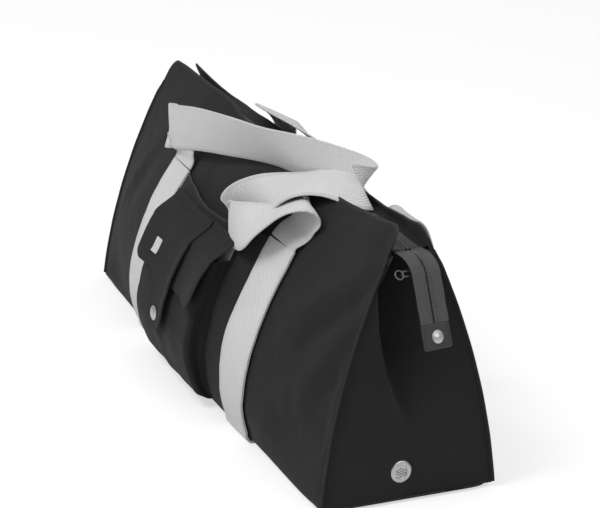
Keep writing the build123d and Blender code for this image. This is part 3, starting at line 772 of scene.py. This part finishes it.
liningGrid = onGrid(np.linspace(-78, 63, 30), np.linspace(128, 186, 14), lambda x, z: slipFace(x, z) + 0.9)
pocketLining = clothPiece("cargo_lining", liningGrid, 0.5, "lining", "bag", outward(y=-1))
print("cargo pocket made")


# Flap over the mouth, and the tongue over the flap
flap = {"half": 82, "hinge": 190, "drop": 72, "corner": 12, "thickness": 2.0, "air": 1.6,
        "nearFlare": 7.5, "farFlare": 3.0, "hem": 3.2}
tongue = {"half": 25, "drop": 124, "tip": 24, "thickness": 2.0, "stand": 3.0, "flare": 3.6, "snap": 83}


# Distance of the flap's underside from the middle of the bag.
def flapDistance(x, z):
    share = np.clip((z - cargo["top"]) / (flap["hinge"] - cargo["top"]), 0, 1)
    middle = np.full(np.shape(x), float(cargo["middle"]))
    over = cargoFace(middle, np.minimum(z, cargo["top"])) + flap["air"]
    hinge = slipFace(middle, np.full(np.shape(x), float(flap["hinge"]))) + 0.2
    return hinge + (over - hinge) * (1 - share**2 * (3 - 2 * share))


def flapFace(x, z):
    across = x - cargo["middle"]
    hang = smoothStep(-z, -flap["hinge"], -flap["hinge"] + 46)
    flare = flap["nearFlare"] * smoothStep(across, 34, 84)**1.4 + flap["farFlare"] * smoothStep(-across, 40, 86)
    pinch = -0.7 * np.exp(-((np.abs(across) - tongue["half"] - 2) / 3.0)**2)
    soft = ripple(x, z, 24, 33) * 1.1 + ripple(x, z, 55, 13) * 1.4
    return flapDistance(x, z) + flap["thickness"] + (flare + pinch) * hang + (soft * 0.5 + 0.4) * hang


def tongueFace(x, z):
    across = x - cargo["middle"]
    hang = smoothStep(-z, -flap["hinge"], -flap["hinge"] + 50)
    cup = tongue["flare"] * smoothStep(across, 8, 26)**1.5 * hang
    dimple = -1.0 * np.exp(-((across**2 + (z - tongue["snap"])**2) / 90))
    soft = ripple(x, z, 30, 41) * 0.8 * hang
    return flapDistance(x, z) + tongue["stand"] + tongue["thickness"] + cup + soft + dimple + 0.3


# Sheet hanging from the hinge line, its two lower corners rounded.
def hangingPiece(name, half, drop, corner, distance, thickness, body, node, columns):
    fromFoot = np.concatenate([corner * (1 - np.cos(np.linspace(0, math.pi / 2, 16))),
                               np.linspace(corner, drop, 46)[1:]])
    rows = []
    for lift in fromFoot:
        reach = half
        if lift < corner:
            reach = half - corner + math.sqrt(max(0.0, corner**2 - (corner - lift)**2))
        x = cargo["middle"] + np.linspace(-1, 1, columns) * max(reach, 1.0)
        z = np.full(columns, flap["hinge"] - drop + lift)
        rows.append(np.stack([x, -distance(x, z), z], -1))
    grid = np.array(rows)
    wear = np.zeros(grid.shape[:2])
    wear[:2] = 0.55
    wear[:, [0, -1]] = 0.55
    return clothPiece(name, grid, thickness, "canvas", body, outward(y=-1), wear, (node,))


flapCloth = hangingPiece("pocket_flap_cloth", flap["half"], flap["drop"], flap["corner"], flapFace,
                         flap["thickness"], "pocket_flap", "pocket_flap", 96)
tongueCloth = hangingPiece("closure_tongue_cloth", tongue["half"], tongue["drop"], tongue["tip"], tongueFace,
                           tongue["thickness"], "closure_tongue", "closure_tongue", 40)

label = {"middle": -53.5, "height": 142, "half": 6.7, "rise": 7.5, "thickness": 0.7, "curl": 1.2}
labelGrid = onGrid(np.linspace(label["middle"] - label["half"], label["middle"] + label["half"], 16),
                   np.linspace(label["height"] - label["rise"], label["height"] + label["rise"], 14),
                   lambda x, z: flapFace(x, z) + label["thickness"] + 0.25
                   + label["curl"] * smoothStep(-z, -label["height"] + 3, -label["height"] + 8))
labelCloth = clothPiece("flap_tag_cloth", labelGrid, label["thickness"], "tag", "pocket_flap", outward(y=-1),
                        None, ("flap_tag",))
print("flap and tongue made")


# Zip: woven tapes, folded facings that sag between them and the long panels
zipper = {"height": 245, "farEnd": -302.2, "nearEnd": 273.4, "inner": 3.45, "outer": 15.65, "tape": 0.9,
          "row": 1.85, "sag": 4.5, "facing": 1.2}


def zipSide(side, word):
    x = np.linspace(zipper["farEnd"], zipper["nearEnd"], 190)
    share = np.linspace(0, 1, 9)[:, None]
    y = side * (zipper["inner"] + (zipper["outer"] - zipper["inner"]) * share) + 0 * x
    lift = 0.3 * np.sin(share * math.pi) + 0.25 * ripple(np.broadcast_to(x, y.shape), y, 22, 5)
    z = zipper["height"] + zipper["tape"] / 2 + lift
    tape = np.stack([np.broadcast_to(x, y.shape), y, z], -1)
    strip = clothPiece(f"{word}_zip_tape_cloth", tape, zipper["tape"], "zip_tape", "bag", outward(z=1),
                       None, (f"{word}_zip_tape",))
    wall = wallFace(side, x, np.full(len(x), float(zipper["height"]))) - walls["canvas"] - 0.5
    share = np.linspace(0, 1, 22)[:, None]
    start = zipper["outer"] - 2.0
    y = start + (wall - start) * share
    xs = np.broadcast_to(x, y.shape)
    sag = zipper["sag"] * np.sin(share * math.pi)**1.2 * np.clip((wall - start) / 40, 0.15, 1)
    z = zipper["height"] + 1.25 - sag + ripple(xs, y, 26, side * 9) * 1.2 * np.sin(share * math.pi)
    rows = np.stack([xs, side * y, z], -1)
    cloth = clothPiece(f"{word}_zip_facing_cloth", rows, zipper["facing"] - 0.3, "canvas", "bag", outward(z=1),
                       None, (f"{word}_zip_facing",))


for side, word in sideWords:
    zipSide(side, word)
print("zip made")


# What repeats, stitches and zip teeth: one node group that sets a bean on every marked point
def repeatGroup():
    group = bpy.data.node_groups.new("beans_along", "GeometryNodeTree")
    face = group.interface
    sockets = {}
    for name, kind in (("Points", "NodeSocketGeometry"), ("Bean Size", "NodeSocketVector"),
                       ("Unevenness", "NodeSocketFloat"), ("Seed", "NodeSocketInt"),
                       ("Finish", "NodeSocketMaterial")):
        sockets[name] = face.new_socket(name=name, in_out="INPUT", socket_type=kind).identifier
    face.new_socket(name="Mesh", in_out="OUTPUT", socket_type="NodeSocketGeometry")
    nodeTree, link = group.nodes, group.links.new
    given = nodeTree.new("NodeGroupInput").outputs

    def node(kind, **settings):
        made = nodeTree.new(kind)
        for key, value in settings.items():
            setattr(made, key, value)
        return made

    bean = node("GeometryNodeMeshUVSphere")
    bean.inputs["Segments"].default_value = 8
    bean.inputs["Rings"].default_value = 5
    bean.inputs["Radius"].default_value = 0.5
    sized = node("GeometryNodeTransform")
    link(bean.outputs["Mesh"], sized.inputs["Geometry"])
    link(given["Bean Size"], sized.inputs["Scale"])
    heading = node("GeometryNodeInputNamedAttribute", data_type="FLOAT_VECTOR")
    heading.inputs["Name"].default_value = "heading"
    upward = node("GeometryNodeInputNamedAttribute", data_type="FLOAT_VECTOR")
    upward.inputs["Name"].default_value = "upward"
    along = node("FunctionNodeAlignRotationToVector", axis="X")
    link(heading.outputs["Attribute"], along.inputs["Vector"])
    level = node("FunctionNodeAlignRotationToVector", axis="Z", pivot_axis="X")
    link(along.outputs["Rotation"], level.inputs["Rotation"])
    link(upward.outputs["Attribute"], level.inputs["Vector"])
    chance = node("FunctionNodeRandomValue", data_type="FLOAT")
    reach = node("ShaderNodeMath", operation="SUBTRACT")
    reach.inputs[0].default_value = 1
    link(given["Unevenness"], reach.inputs[1])
    link(reach.outputs[0], chance.inputs[2])
    chance.inputs[3].default_value = 1
    link(given["Seed"], chance.inputs["Seed"])
    placed = node("GeometryNodeInstanceOnPoints")
    link(given["Points"], placed.inputs["Points"])
    link(sized.outputs["Geometry"], placed.inputs["Instance"])
    link(level.outputs["Rotation"], placed.inputs["Rotation"])
    link(chance.outputs[1], placed.inputs["Scale"])
    real = node("GeometryNodeRealizeInstances")
    link(placed.outputs["Instances"], real.inputs["Geometry"])
    shaded = node("GeometryNodeSetMaterial")
    link(real.outputs["Geometry"], shaded.inputs["Geometry"])
    link(given["Finish"], shaded.inputs["Material"])
    link(shaded.outputs["Geometry"], node("NodeGroupOutput").inputs["Mesh"])
    return group, sockets


beans, beanSockets = repeatGroup()
beanKinds = {
    "thread_black": {"size": (2.3, 0.62, 0.42), "pitch": 3.0, "uneven": 0.16, "seed": 3},
    "thread_grey": {"size": (2.4, 0.7, 0.4), "pitch": 3.1, "uneven": 0.16, "seed": 5},
    "zip_coil": {"size": (1.15, 3.0, 2.7), "pitch": 1.45, "uneven": 0.04, "seed": 8},
}
sewn = {}


# Mark points for beans of one kind every pitch along a path, each with its heading and its up.
def sew(kind, body, path, up, pitch=None):
    path = np.asarray(path, float)
    run = runAlong(path)
    step = pitch or beanKinds[kind]["pitch"]
    stops = np.arange(step / 2, run[-1], step)
    heading = alongPath(stops + 0.6, run, path) - alongPath(stops - 0.6, run, path)
    ups = alongPath(stops, run, np.broadcast_to(np.asarray(up, float), path.shape))
    sewn.setdefault((kind, body), []).append((alongPath(stops, run, path), unit(heading), unit(ups)))


def makeBeans(kind, body, rows):
    spots, headings, ups = (np.concatenate(part) for part in zip(*rows))
    settings = beanKinds[kind]
    mesh = bpy.data.meshes.new("marks")
    mesh.from_pydata(toFrame(spots).tolist(), [], [])
    for name, values in (("heading", headings), ("upward", ups)):
        layer = mesh.attributes.new(name, "FLOAT_VECTOR", "POINT")
        layer.data.foreach_set("vector", values.astype(np.float32).ravel())
    marks = addObject("marks", mesh)
    modifier = marks.modifiers.new("beans", "NODES")
    modifier.node_group = beans
    modifier[beanSockets["Bean Size"]] = [side / 1000 for side in settings["size"]]
    modifier[beanSockets["Unevenness"]] = settings["uneven"]
    modifier[beanSockets["Seed"]] = settings["seed"]
    modifier[beanSockets["Finish"]] = finishes[kind]
    ready = marks.evaluated_get(bpy.context.evaluated_depsgraph_get())
    made = bpy.data.meshes.new_from_object(ready)
    bpy.data.objects.remove(marks)
    made.name = f"{kind}_{body}"
    made.shade_smooth()
    piece = addObject(made.name, made)
    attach(piece, body)
    return piece


# Zip tails: two tapes and their teeth, bent over each end, with a riveted tab sewn on
tails = {"radius": 26, "sweep": 66, "drop": 44, "reach": 8, "turn": 8, "air": 0.4, "curl": 1.1,
         "tabLength": 24, "tabWidth": 31, "tabThickness": 3.4, "tabInset": 1.9}


# Middle line of the strip in its own frame: out, then down in a bend, then straight.
def tailLine(step):
    sweep = math.radians(tails["sweep"])
    length = tails["reach"] + tails["radius"] * sweep + tails["drop"]
    found = []
    for s in np.arange(0, length + step / 2, step):
        turned = min(max((s - tails["reach"]) / tails["radius"], 0), sweep)
        x = min(s, tails["reach"]) + tails["radius"] * math.sin(turned)
        z = -tails["radius"] * (1 - math.cos(turned))
        left = max(0, s - tails["reach"] - tails["radius"] * sweep)
        found.append((x + left * math.cos(sweep), z - left * math.sin(sweep), turned))
    return np.array(found)


# Turns points from a tail's own frame into the bag's.
def tailPlace(end):
    turn = math.radians((0 if end == near else 180) + tails["turn"] * end)
    corner = zipper["outer"] * math.sin(math.radians(tails["turn"]))
    start = (zipper["nearEnd"] if end == near else zipper["farEnd"]) + end * (corner + tails["air"])
    spin = np.array([[math.cos(turn), -math.sin(turn), 0], [math.sin(turn), math.cos(turn), 0], [0, 0, 1]])
    return lambda rows: np.asarray(rows) @ spin.T + (start, 0, zipper["height"]), lambda rows: rows @ spin.T


def tail(end, word):
    place, spin = tailPlace(end)
    line = tailLine(1.2)
    out = np.stack([np.sin(line[:, 2]), np.zeros(len(line)), np.cos(line[:, 2])], -1)
    middle = np.stack([line[:, 0], np.zeros(len(line)), line[:, 1]], -1)
    for side, face in sideWords:
        share = np.linspace(0, 1, 9)
        offset = zipper["inner"] - 0.4 + (zipper["outer"] - zipper["inner"] + 0.4) * share
        late = smoothStep(np.arange(len(line)), 6, 30)[:, None]
        curl = (0.5 * np.sin(share * math.pi) + tails["curl"] * share**3 * late
                + 0.25 * np.sin(np.arange(len(line)) / 3.1)[:, None] * share**2 * late)
        grid = (middle[:, None] + np.array([0, side, 0]) * offset[None, :, None]
                + out[:, None] * (zipper["tape"] / 2 + curl)[..., None])
        grid = place(grid).transpose(1, 0, 2)
        strip = clothPiece(f"{word}_tail_{face}_tape_cloth", grid, zipper["tape"], "zip_tape",
                           f"{word}_tail", lambda rows: spin(np.broadcast_to(out[None], rows.shape)),
                           None, (f"{word}_tail_{face}_tape",))
    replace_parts(sewCoil(f"{word}_tail", place(middle[2:]), spin(out[2:]), spin(np.array([0, 1.0, 0]))),
                f"{word}_tail_coil")
    tab(end, word, place, spin, line[-1])


# Two rows of teeth, half a pitch out of step.
def sewCoil(body, path, ups, wide):
    for row in (-1, 1):
        shift = unit(np.diff(path[:2], axis=0))[0] * (0.36 if row > 0 else -0.36)
        sew("zip_coil", body, path + wide * row * zipper["row"] + shift, ups)
    return makeBeans("zip_coil", body, sewn.pop(("zip_coil", body)))


def tab(end, word, place, spin, last):
    sweep = math.radians(tails["sweep"])
    down = np.array([math.cos(sweep), 0, -math.sin(sweep)])
    out = np.array([math.sin(sweep), 0, math.cos(sweep)])
    start = np.array([last[0], 0, last[1]]) + down * 0.3
    runs = np.linspace(0.0, tails["tabLength"], 30)
    edge = np.minimum(np.minimum(runs, tails["tabLength"] - runs) / 1.6, 1)
    centres = start + down * runs[:, None]
    rings = []
    for centre, inside in zip(centres, edge):
        half = tails["tabWidth"] / 2 - 1.6 * (1 - math.sqrt(1 - (1 - inside)**2))
        lip = tails["tabThickness"] / 2 * (0.55 + 0.45 * math.sqrt(1 - (1 - inside)**2))
        turn = np.linspace(0, 2 * math.pi, 40, endpoint=False)
        box = np.stack([np.cos(turn), np.sin(turn)], -1)
        box = np.sign(box) * np.abs(box)**0.25
        groove = 1 - 0.16 * np.exp(-((np.abs(box[:, 0]) - 0.86) / 0.05)**2)
        rings.append(centre + np.array([0, 1.0, 0]) * (box[:, :1] * half) + out * (box[:, 1:] * lip
                     * groove[:, None]))
    rings = place(np.array(rings))
    count, sides, _ = rings.shape
    index = np.arange(count * sides).reshape(count, sides)
    onward = np.roll(index, -1, axis=1)
    faces = np.stack([index[:-1], index[1:], onward[1:], onward[:-1]], -1).reshape(-1, 4).tolist()
    faces += [index[0].tolist(), index[-1][::-1].tolist()]
    makeObject(f"{word}_tail_tab_cloth", rings.reshape(-1, 3), faces, "tab_leather", f"{word}_tail",
               replaced=(f"{word}_tail_tab",))
    half = tails["tabWidth"] / 2 - tails["tabInset"]
    low, high = tails["tabInset"], tails["tabLength"] - tails["tabInset"]
    loop = np.array([(low, -half), (high, -half), (high, half), (low, half), (low, -half)])
    path = start + down * loop[:, :1] + np.array([0, 1.0, 0]) * loop[:, 1:]
    sew("thread_black", f"{word}_tail", place(path + out * (tails["tabThickness"] / 2 - 0.12)), spin(out), 2.6)


for end, word in endWords:
    tail(end, word)
zipLine = np.stack([np.linspace(zipper["farEnd"] + 2, zipper["nearEnd"] - 1, 380), np.zeros(380),
                    np.full(380, zipper["height"] + 0.1)], -1)
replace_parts(sewCoil("bag", zipLine, (0, 0, 1), np.array([0, 1.0, 0])), "front_zip_coil", "back_zip_coil")
print("tails and teeth made")


# Handles: webbing along smooth lines; each station is a spot on its middle line and its width direction
handles = {"width": 50, "thickness": 2.2, "steps": 10, "seamInset": 3, "joint": 0.3}
frontStations = [
    ((137, -47, 222), (1, 0.02, 0)), ((144, -42, 236), (0.99, 0, 0)),
    ((150, -40, 245), (0.99, -0.12, 0.03)), ((148, -46, 250), (0.93, -0.36, 0.08)),
    ((141, -54, 248), (0.84, -0.54, 0.08)), ((132, -62, 241), (0.82, -0.57, 0.05)),
    ((121, -69, 231), (0.77, -0.6, -0.1)), ((107, -76, 221), (0.72, -0.58, -0.36)),
    ((90, -83, 211), (0.48, -0.38, -0.78)), ((73, -87, 204.5), (0.1, -0.08, -0.99)),
    ((56, -88, 202.5), (-0.2, 0.1, -0.97)), ((44, -83, 207), (-0.3, 0.15, -0.94)),
    ((49, -73, 217), (-0.25, 0.05, -0.96)), ((67, -63, 230), (0, -0.25, -0.96)),
    ((85, -52, 242), (0.35, -0.6, -0.7)), ((102, -41, 253), (0.5, -0.77, -0.38)),
    ((120, -28, 263), (0.52, -0.8, -0.3)), ((137, -15, 267), (0.55, -0.78, -0.3)),
    ((150, -4, 267), (0.6, -0.7, -0.38)), ((160, 5, 266), (0.55, -0.6, -0.55)),
    ((160, 10, 267), (0.4, -0.5, -0.75)), ((148, 11, 269), (0.3, -0.4, -0.85)),
    ((128, 3, 271), (0.15, -0.1, -0.98)), ((102, -10, 274), (0, 0.1, -0.99)),
    ((77, -25, 276), (-0.12, 0.22, -0.97)), ((41, -40, 275), (-0.19, 0.42, -0.88)),
    ((0, -49.5, 270.5), (-0.17, 0.35, -0.92)), ((-40, -58.5, 264.5), (-0.05, 0.26, -0.97)),
    ((-81, -67, 258), (0.1, 0.18, -0.97)), ((-119, -71.5, 249), (0.14, 0.13, -0.98)),
    ((-150, -74, 241), (0.12, 0.07, -0.99)), ((-161, -73, 239), (0.08, 0.04, -0.99)),
    ((-160, -69.5, 238), (0.06, 0.04, -0.99)), ((-149, -68, 237), (0.04, 0.04, -0.99)),
]
stubStations = [((-130, -70, 222), (0.98, 0.16, 0)), ((-132, -70.5, 236), (0.95, 0.3, 0))]
backStations = [
    ((-130, 57, 221), (1, 0, 0)), ((-127, 49.5, 241), (0.98, 0.12, -0.08)),
    ((-116, 35, 258), (0.75, 0.6, -0.25)), ((-95, 25, 265.5), (0.4, 0.85, -0.35)),
    ((-68, 28, 264), (0.1, 0.88, -0.48)), ((-42, 39, 255), (0, 0.75, -0.66)),
    ((-20, 54, 239), (-0.4, 0.5, -0.76)), ((0, 72, 217), (-0.72, 0.3, -0.6)),
    ((18, 91, 188), (-0.87, 0.15, -0.45)), ((36, 106, 156), (-0.9, 0.06, -0.42)),
    ((56, 114, 122), (-0.87, 0, -0.48)), ((78, 117.5, 92), (-0.86, 0, -0.5)),
    ((93, 119, 72), (-0.9, 0, -0.43)), ((98, 119.5, 62), (-0.95, 0, -0.3)),
    ((98.5, 124.5, 60), (-0.98, 0, -0.16)), ((102, 125.5, 75), (-0.98, 0, 0.1)),
    ((117, 119, 114), (-0.98, 0, 0.14)), ((125, 108, 158), (-1, 0, 0.08)), ((130, 93, 200), (-1, 0, 0)),
    ((130, 84, 217), (-1, 0, 0)), ((130, 73, 224), (-1, 0, 0)), ((130, 64, 219), (-1, 0, 0)),
]


# Points along the NURBS line that has these control points.
def smoothLine(points):
    curve = bpy.data.curves.new("line", "CURVE")
    curve.dimensions = "3D"
    spline = curve.splines.new("NURBS")
    spline.points.add(len(points) - 1)
    for place, point in zip(spline.points, points):
        place.co = (*point, 1)
    spline.order_u = 3
    spline.use_endpoint_u = True
    spline.resolution_u = handles["steps"]
    holder = addObject("line", curve)
    bpy.context.view_layer.update()
    mesh = bpy.data.meshes.new_from_object(holder)
    found = np.array([vertex.co for vertex in mesh.vertices])
    bpy.data.objects.remove(holder)
    bpy.data.meshes.remove(mesh)
    return found


def handle(name, stations, body, replaced, cup=0.0):
    centres = np.array([spot for spot, across in stations], float)
    across = unit(np.array([way for spot, way in stations], float))
    middle = smoothLine(centres)
    edge = smoothLine(centres + across * handles["width"] / 2)
    piece = ribbon(name, middle, edge - middle, handles["width"], handles["thickness"], "webbing", body,
                   replaced, cup, rimWear=0.6)
    along = unit(np.gradient(middle, axis=0))
    wide = unit((edge - middle) - along * np.sum((edge - middle) * along, -1, keepdims=True))
    through = np.cross(along, wide)
    for side in (-1, 1):
        for place in (-1, 1):
            path = (middle + wide * place * (handles["width"] / 2 - handles["seamInset"])
                    + through * side * (handles["thickness"] / 2 + 0.02))
            sew("thread_grey", body, path, through * side)
    return piece


# The first stations of a handle, in line with the cut top of its strap.
def strapEnd(side, middle, way):
    reach = straps["width"] / 2
    found = []
    for z in (straps["top"] + handles["joint"], straps["top"] + 7):
        left, right = (float(strapStand(side, np.array(middle + shift), np.array(z), middle))
                       - straps["thickness"] / 2 for shift in (-reach, reach))
        found.append(((middle, side * (left + right) / 2, z), (way, side * way * (right - left) / 2 / reach, 0)))
    return found


frontStations = strapEnd(front, 130, 1) + frontStations
stubStations = strapEnd(front, -130, 1) + stubStations
backStations = strapEnd(back, -130, 1) + backStations + strapEnd(back, 130, -1)[::-1]
frontHandle = handle("front_handle_webbing", frontStations, "front_handle", ("front_handle",), 0.8)
stub = handle("front_handle_end", stubStations, "front_handle", ())
backHandle = handle("back_handle_webbing", backStations, "back_handle", ("back_handle",), 0.6)
print("handles made")


# Stitching
def wallPath(side, x, z, lift=0.12):
    x, z = np.broadcast_arrays(np.asarray(x, float), np.asarray(z, float))
    return np.stack([x, side * (wallFace(side, x, z) + lift), z], -1)


stitches = {"hemDrop": 17, "hemEdge": 3, "cornerInset": 6.5, "strapInset": 3.2}
u = np.linspace(-0.975, 0.975, 400)
for side in (front, back):
    for drop in (stitches["hemEdge"], stitches["hemDrop"]):
        z = panelTop(side, u) - drop
        sew("thread_black", "bag", wallPath(side, wallX(u, z), z), (0, side, 0.1))
    z = np.linspace(12, walls["seamTop"] - 4, 200)
    for end in (near, far):
        x = wallX(np.full(200, float(end)), z) - end * stitches["cornerInset"]
        sew("thread_black", "bag", wallPath(side, x, z), (0, side, 0))
    for middle in (-straps["spacing"] / 2, straps["spacing"] / 2):
        z = np.linspace(14, straps["top"] - 3, 160)
        inset = straps["width"] / 2 - stitches["strapInset"]
        for x in (middle - inset, middle + inset):
            xs = np.full(160, x)
            y = side * (strapStand(side, xs, z, middle) + 0.05)
            sew("thread_grey", "bag", np.stack([xs, y, z], -1), (0, side, 0))

x = np.linspace(-slip["half"] + 8, slip["half"] - 8, 160)
top = slipTop(x)
for drop in (2.5, 12.5):
    y = -(slipFace(x, top - drop) + (0.75 if drop < 10 else 0.1))
    sew("thread_black", "bag", np.stack([x, y, top - drop], -1), (0, -1, 0))


# Line a little inside the edge of a hanging piece: down one side, round the foot and up the other.
def outlinePath(half, drop, corner, inset):
    reach, radius = half - inset, corner - inset
    foot = flap["hinge"] - drop + inset
    turn = np.linspace(0, math.pi / 2, 14)
    right = [(reach, z) for z in np.linspace(flap["hinge"] - 4, foot + radius, 40)]
    right += [(reach - radius + radius * math.cos(t), foot + radius - radius * math.sin(t)) for t in turn]
    base = [(x, foot) for x in np.linspace(reach - radius, radius - reach, 30)[1:-1]]
    path = np.array(right + base + [(-x, z) for x, z in right[::-1]])
    return path[:, 0] + cargo["middle"], path[:, 1]


for half, drop, corner, distance, body in (
        (flap["half"], flap["drop"], flap["corner"], flapFace, "pocket_flap"),
        (tongue["half"], tongue["drop"], tongue["tip"], tongueFace, "closure_tongue")):
    for inset in (2.6, 7.5) if body == "pocket_flap" else (2.6,):
        x, z = outlinePath(half, drop, corner, inset)
        sew("thread_black", body, np.stack([x, -(distance(x, z) + 0.1), z], -1), (0, -1, 0))
for side in (-1, 1):
    z = np.linspace(cargo["foot"] + 10, cargo["top"] - 2, 120)
    x = cargo["middle"] + side * (cargo["half"] - cargo["corner"] - 1.5) * np.ones(120)
    y = -(cargoFace(x, z) + 0.1)
    sew("thread_black", "bag", np.stack([x, y, z], -1), (0, -1, 0))
for (kind, body), rows in sewn.items():
    makeBeans(kind, body, rows)
print("stitches made")


# Floor, backdrop light and lamps
studio = {"floor": 0.80, "glow": 0.45, "shine": 1.3, "sky": 0.9, "low": 0.2, "key": 30, "fill": 6}


def lightPath(shader, kind):
    return Wire(shader, shader.add("ShaderNodeLightPath", {}).socket.node.outputs[kind])


def addFloor():
    shader = Shader("floor")
    cloud = shader.noise(shader.coordinates(), 2, 2)
    color = shader.blend(cloud, grey(studio["floor"]), grey(studio["floor"] + 0.02))
    shader.finish(Base_Color=color, Roughness=0.95, Specular_IOR_Level=0.1)
    glow = shader.add("ShaderNodeEmission", {}, grey(1), studio["shine"])
    mixed = shader.add("ShaderNodeMixShader", {}, lightPath(shader, "Is Camera Ray") * studio["glow"])
    joined = mixed.socket.node
    shader.tree.links.new(shader.surface.outputs[0], joined.inputs[1])
    shader.tree.links.new(glow.socket, joined.inputs[2])
    shader.tree.links.new(mixed.socket, shader.tree.nodes["Material Output"].inputs["Surface"])
    mesh = bpy.data.meshes.new("floor")
    reach = 8
    mesh.from_pydata([(-reach, -reach, 0), (reach, -reach, 0), (reach, reach, 0), (-reach, reach, 0)], [],
                     [(0, 1, 2, 3)])
    mesh.materials.append(shader.material)
    floor = addObject("floor", mesh)


# White where the camera looks past the floor, and a soft dome, bright above and dim round the sides.
def addSky():
    world = bpy.data.worlds.new("sky")
    bpy.context.scene.world = world
    world.use_nodes = True
    tree = world.node_tree
    where = tree.nodes.new("ShaderNodeTexCoord")
    split = tree.nodes.new("ShaderNodeSeparateXYZ")
    tree.links.new(where.outputs["Generated"], split.inputs[0])
    ramp = tree.nodes.new("ShaderNodeMapRange")
    ramp.inputs["From Min"].default_value = -0.1
    ramp.inputs["From Max"].default_value = 0.9
    ramp.inputs["To Min"].default_value = studio["low"]
    ramp.inputs["To Max"].default_value = 1.0
    tree.links.new(split.outputs["Z"], ramp.inputs["Value"])
    light = tree.nodes["Background"]
    light.inputs["Strength"].default_value = studio["sky"]
    tree.links.new(ramp.outputs["Result"], light.inputs["Color"])
    shown = tree.nodes.new("ShaderNodeBackground")
    shown.inputs["Color"].default_value = grey(1)
    shown.inputs["Strength"].default_value = 1
    rays = tree.nodes.new("ShaderNodeLightPath")
    choose = tree.nodes.new("ShaderNodeMixShader")
    tree.links.new(rays.outputs["Is Camera Ray"], choose.inputs[0])
    tree.links.new(light.outputs[0], choose.inputs[1])
    tree.links.new(shown.outputs[0], choose.inputs[2])
    tree.links.new(choose.outputs[0], tree.nodes["World Output"].inputs["Surface"])


def addLamp(name, place, aim, size, watts):
    data = bpy.data.lights.new(name, "AREA")
    data.shape = "DISK"
    data.size = size
    data.energy = watts
    lamp = addObject(name, data)
    lamp.location = place
    lamp.rotation_euler = (Vector(aim) - Vector(place)).to_track_quat("-Z", "Y").to_euler()


addFloor()
addSky()
addLamp("key", (0.3, -1.5, 2.1), (0, 0, 0.12), 1.0, studio["key"])
addLamp("fill", (2.0, 0.6, 1.4), (0, 0, 0.15), 1.2, studio["fill"])
print("stage made")
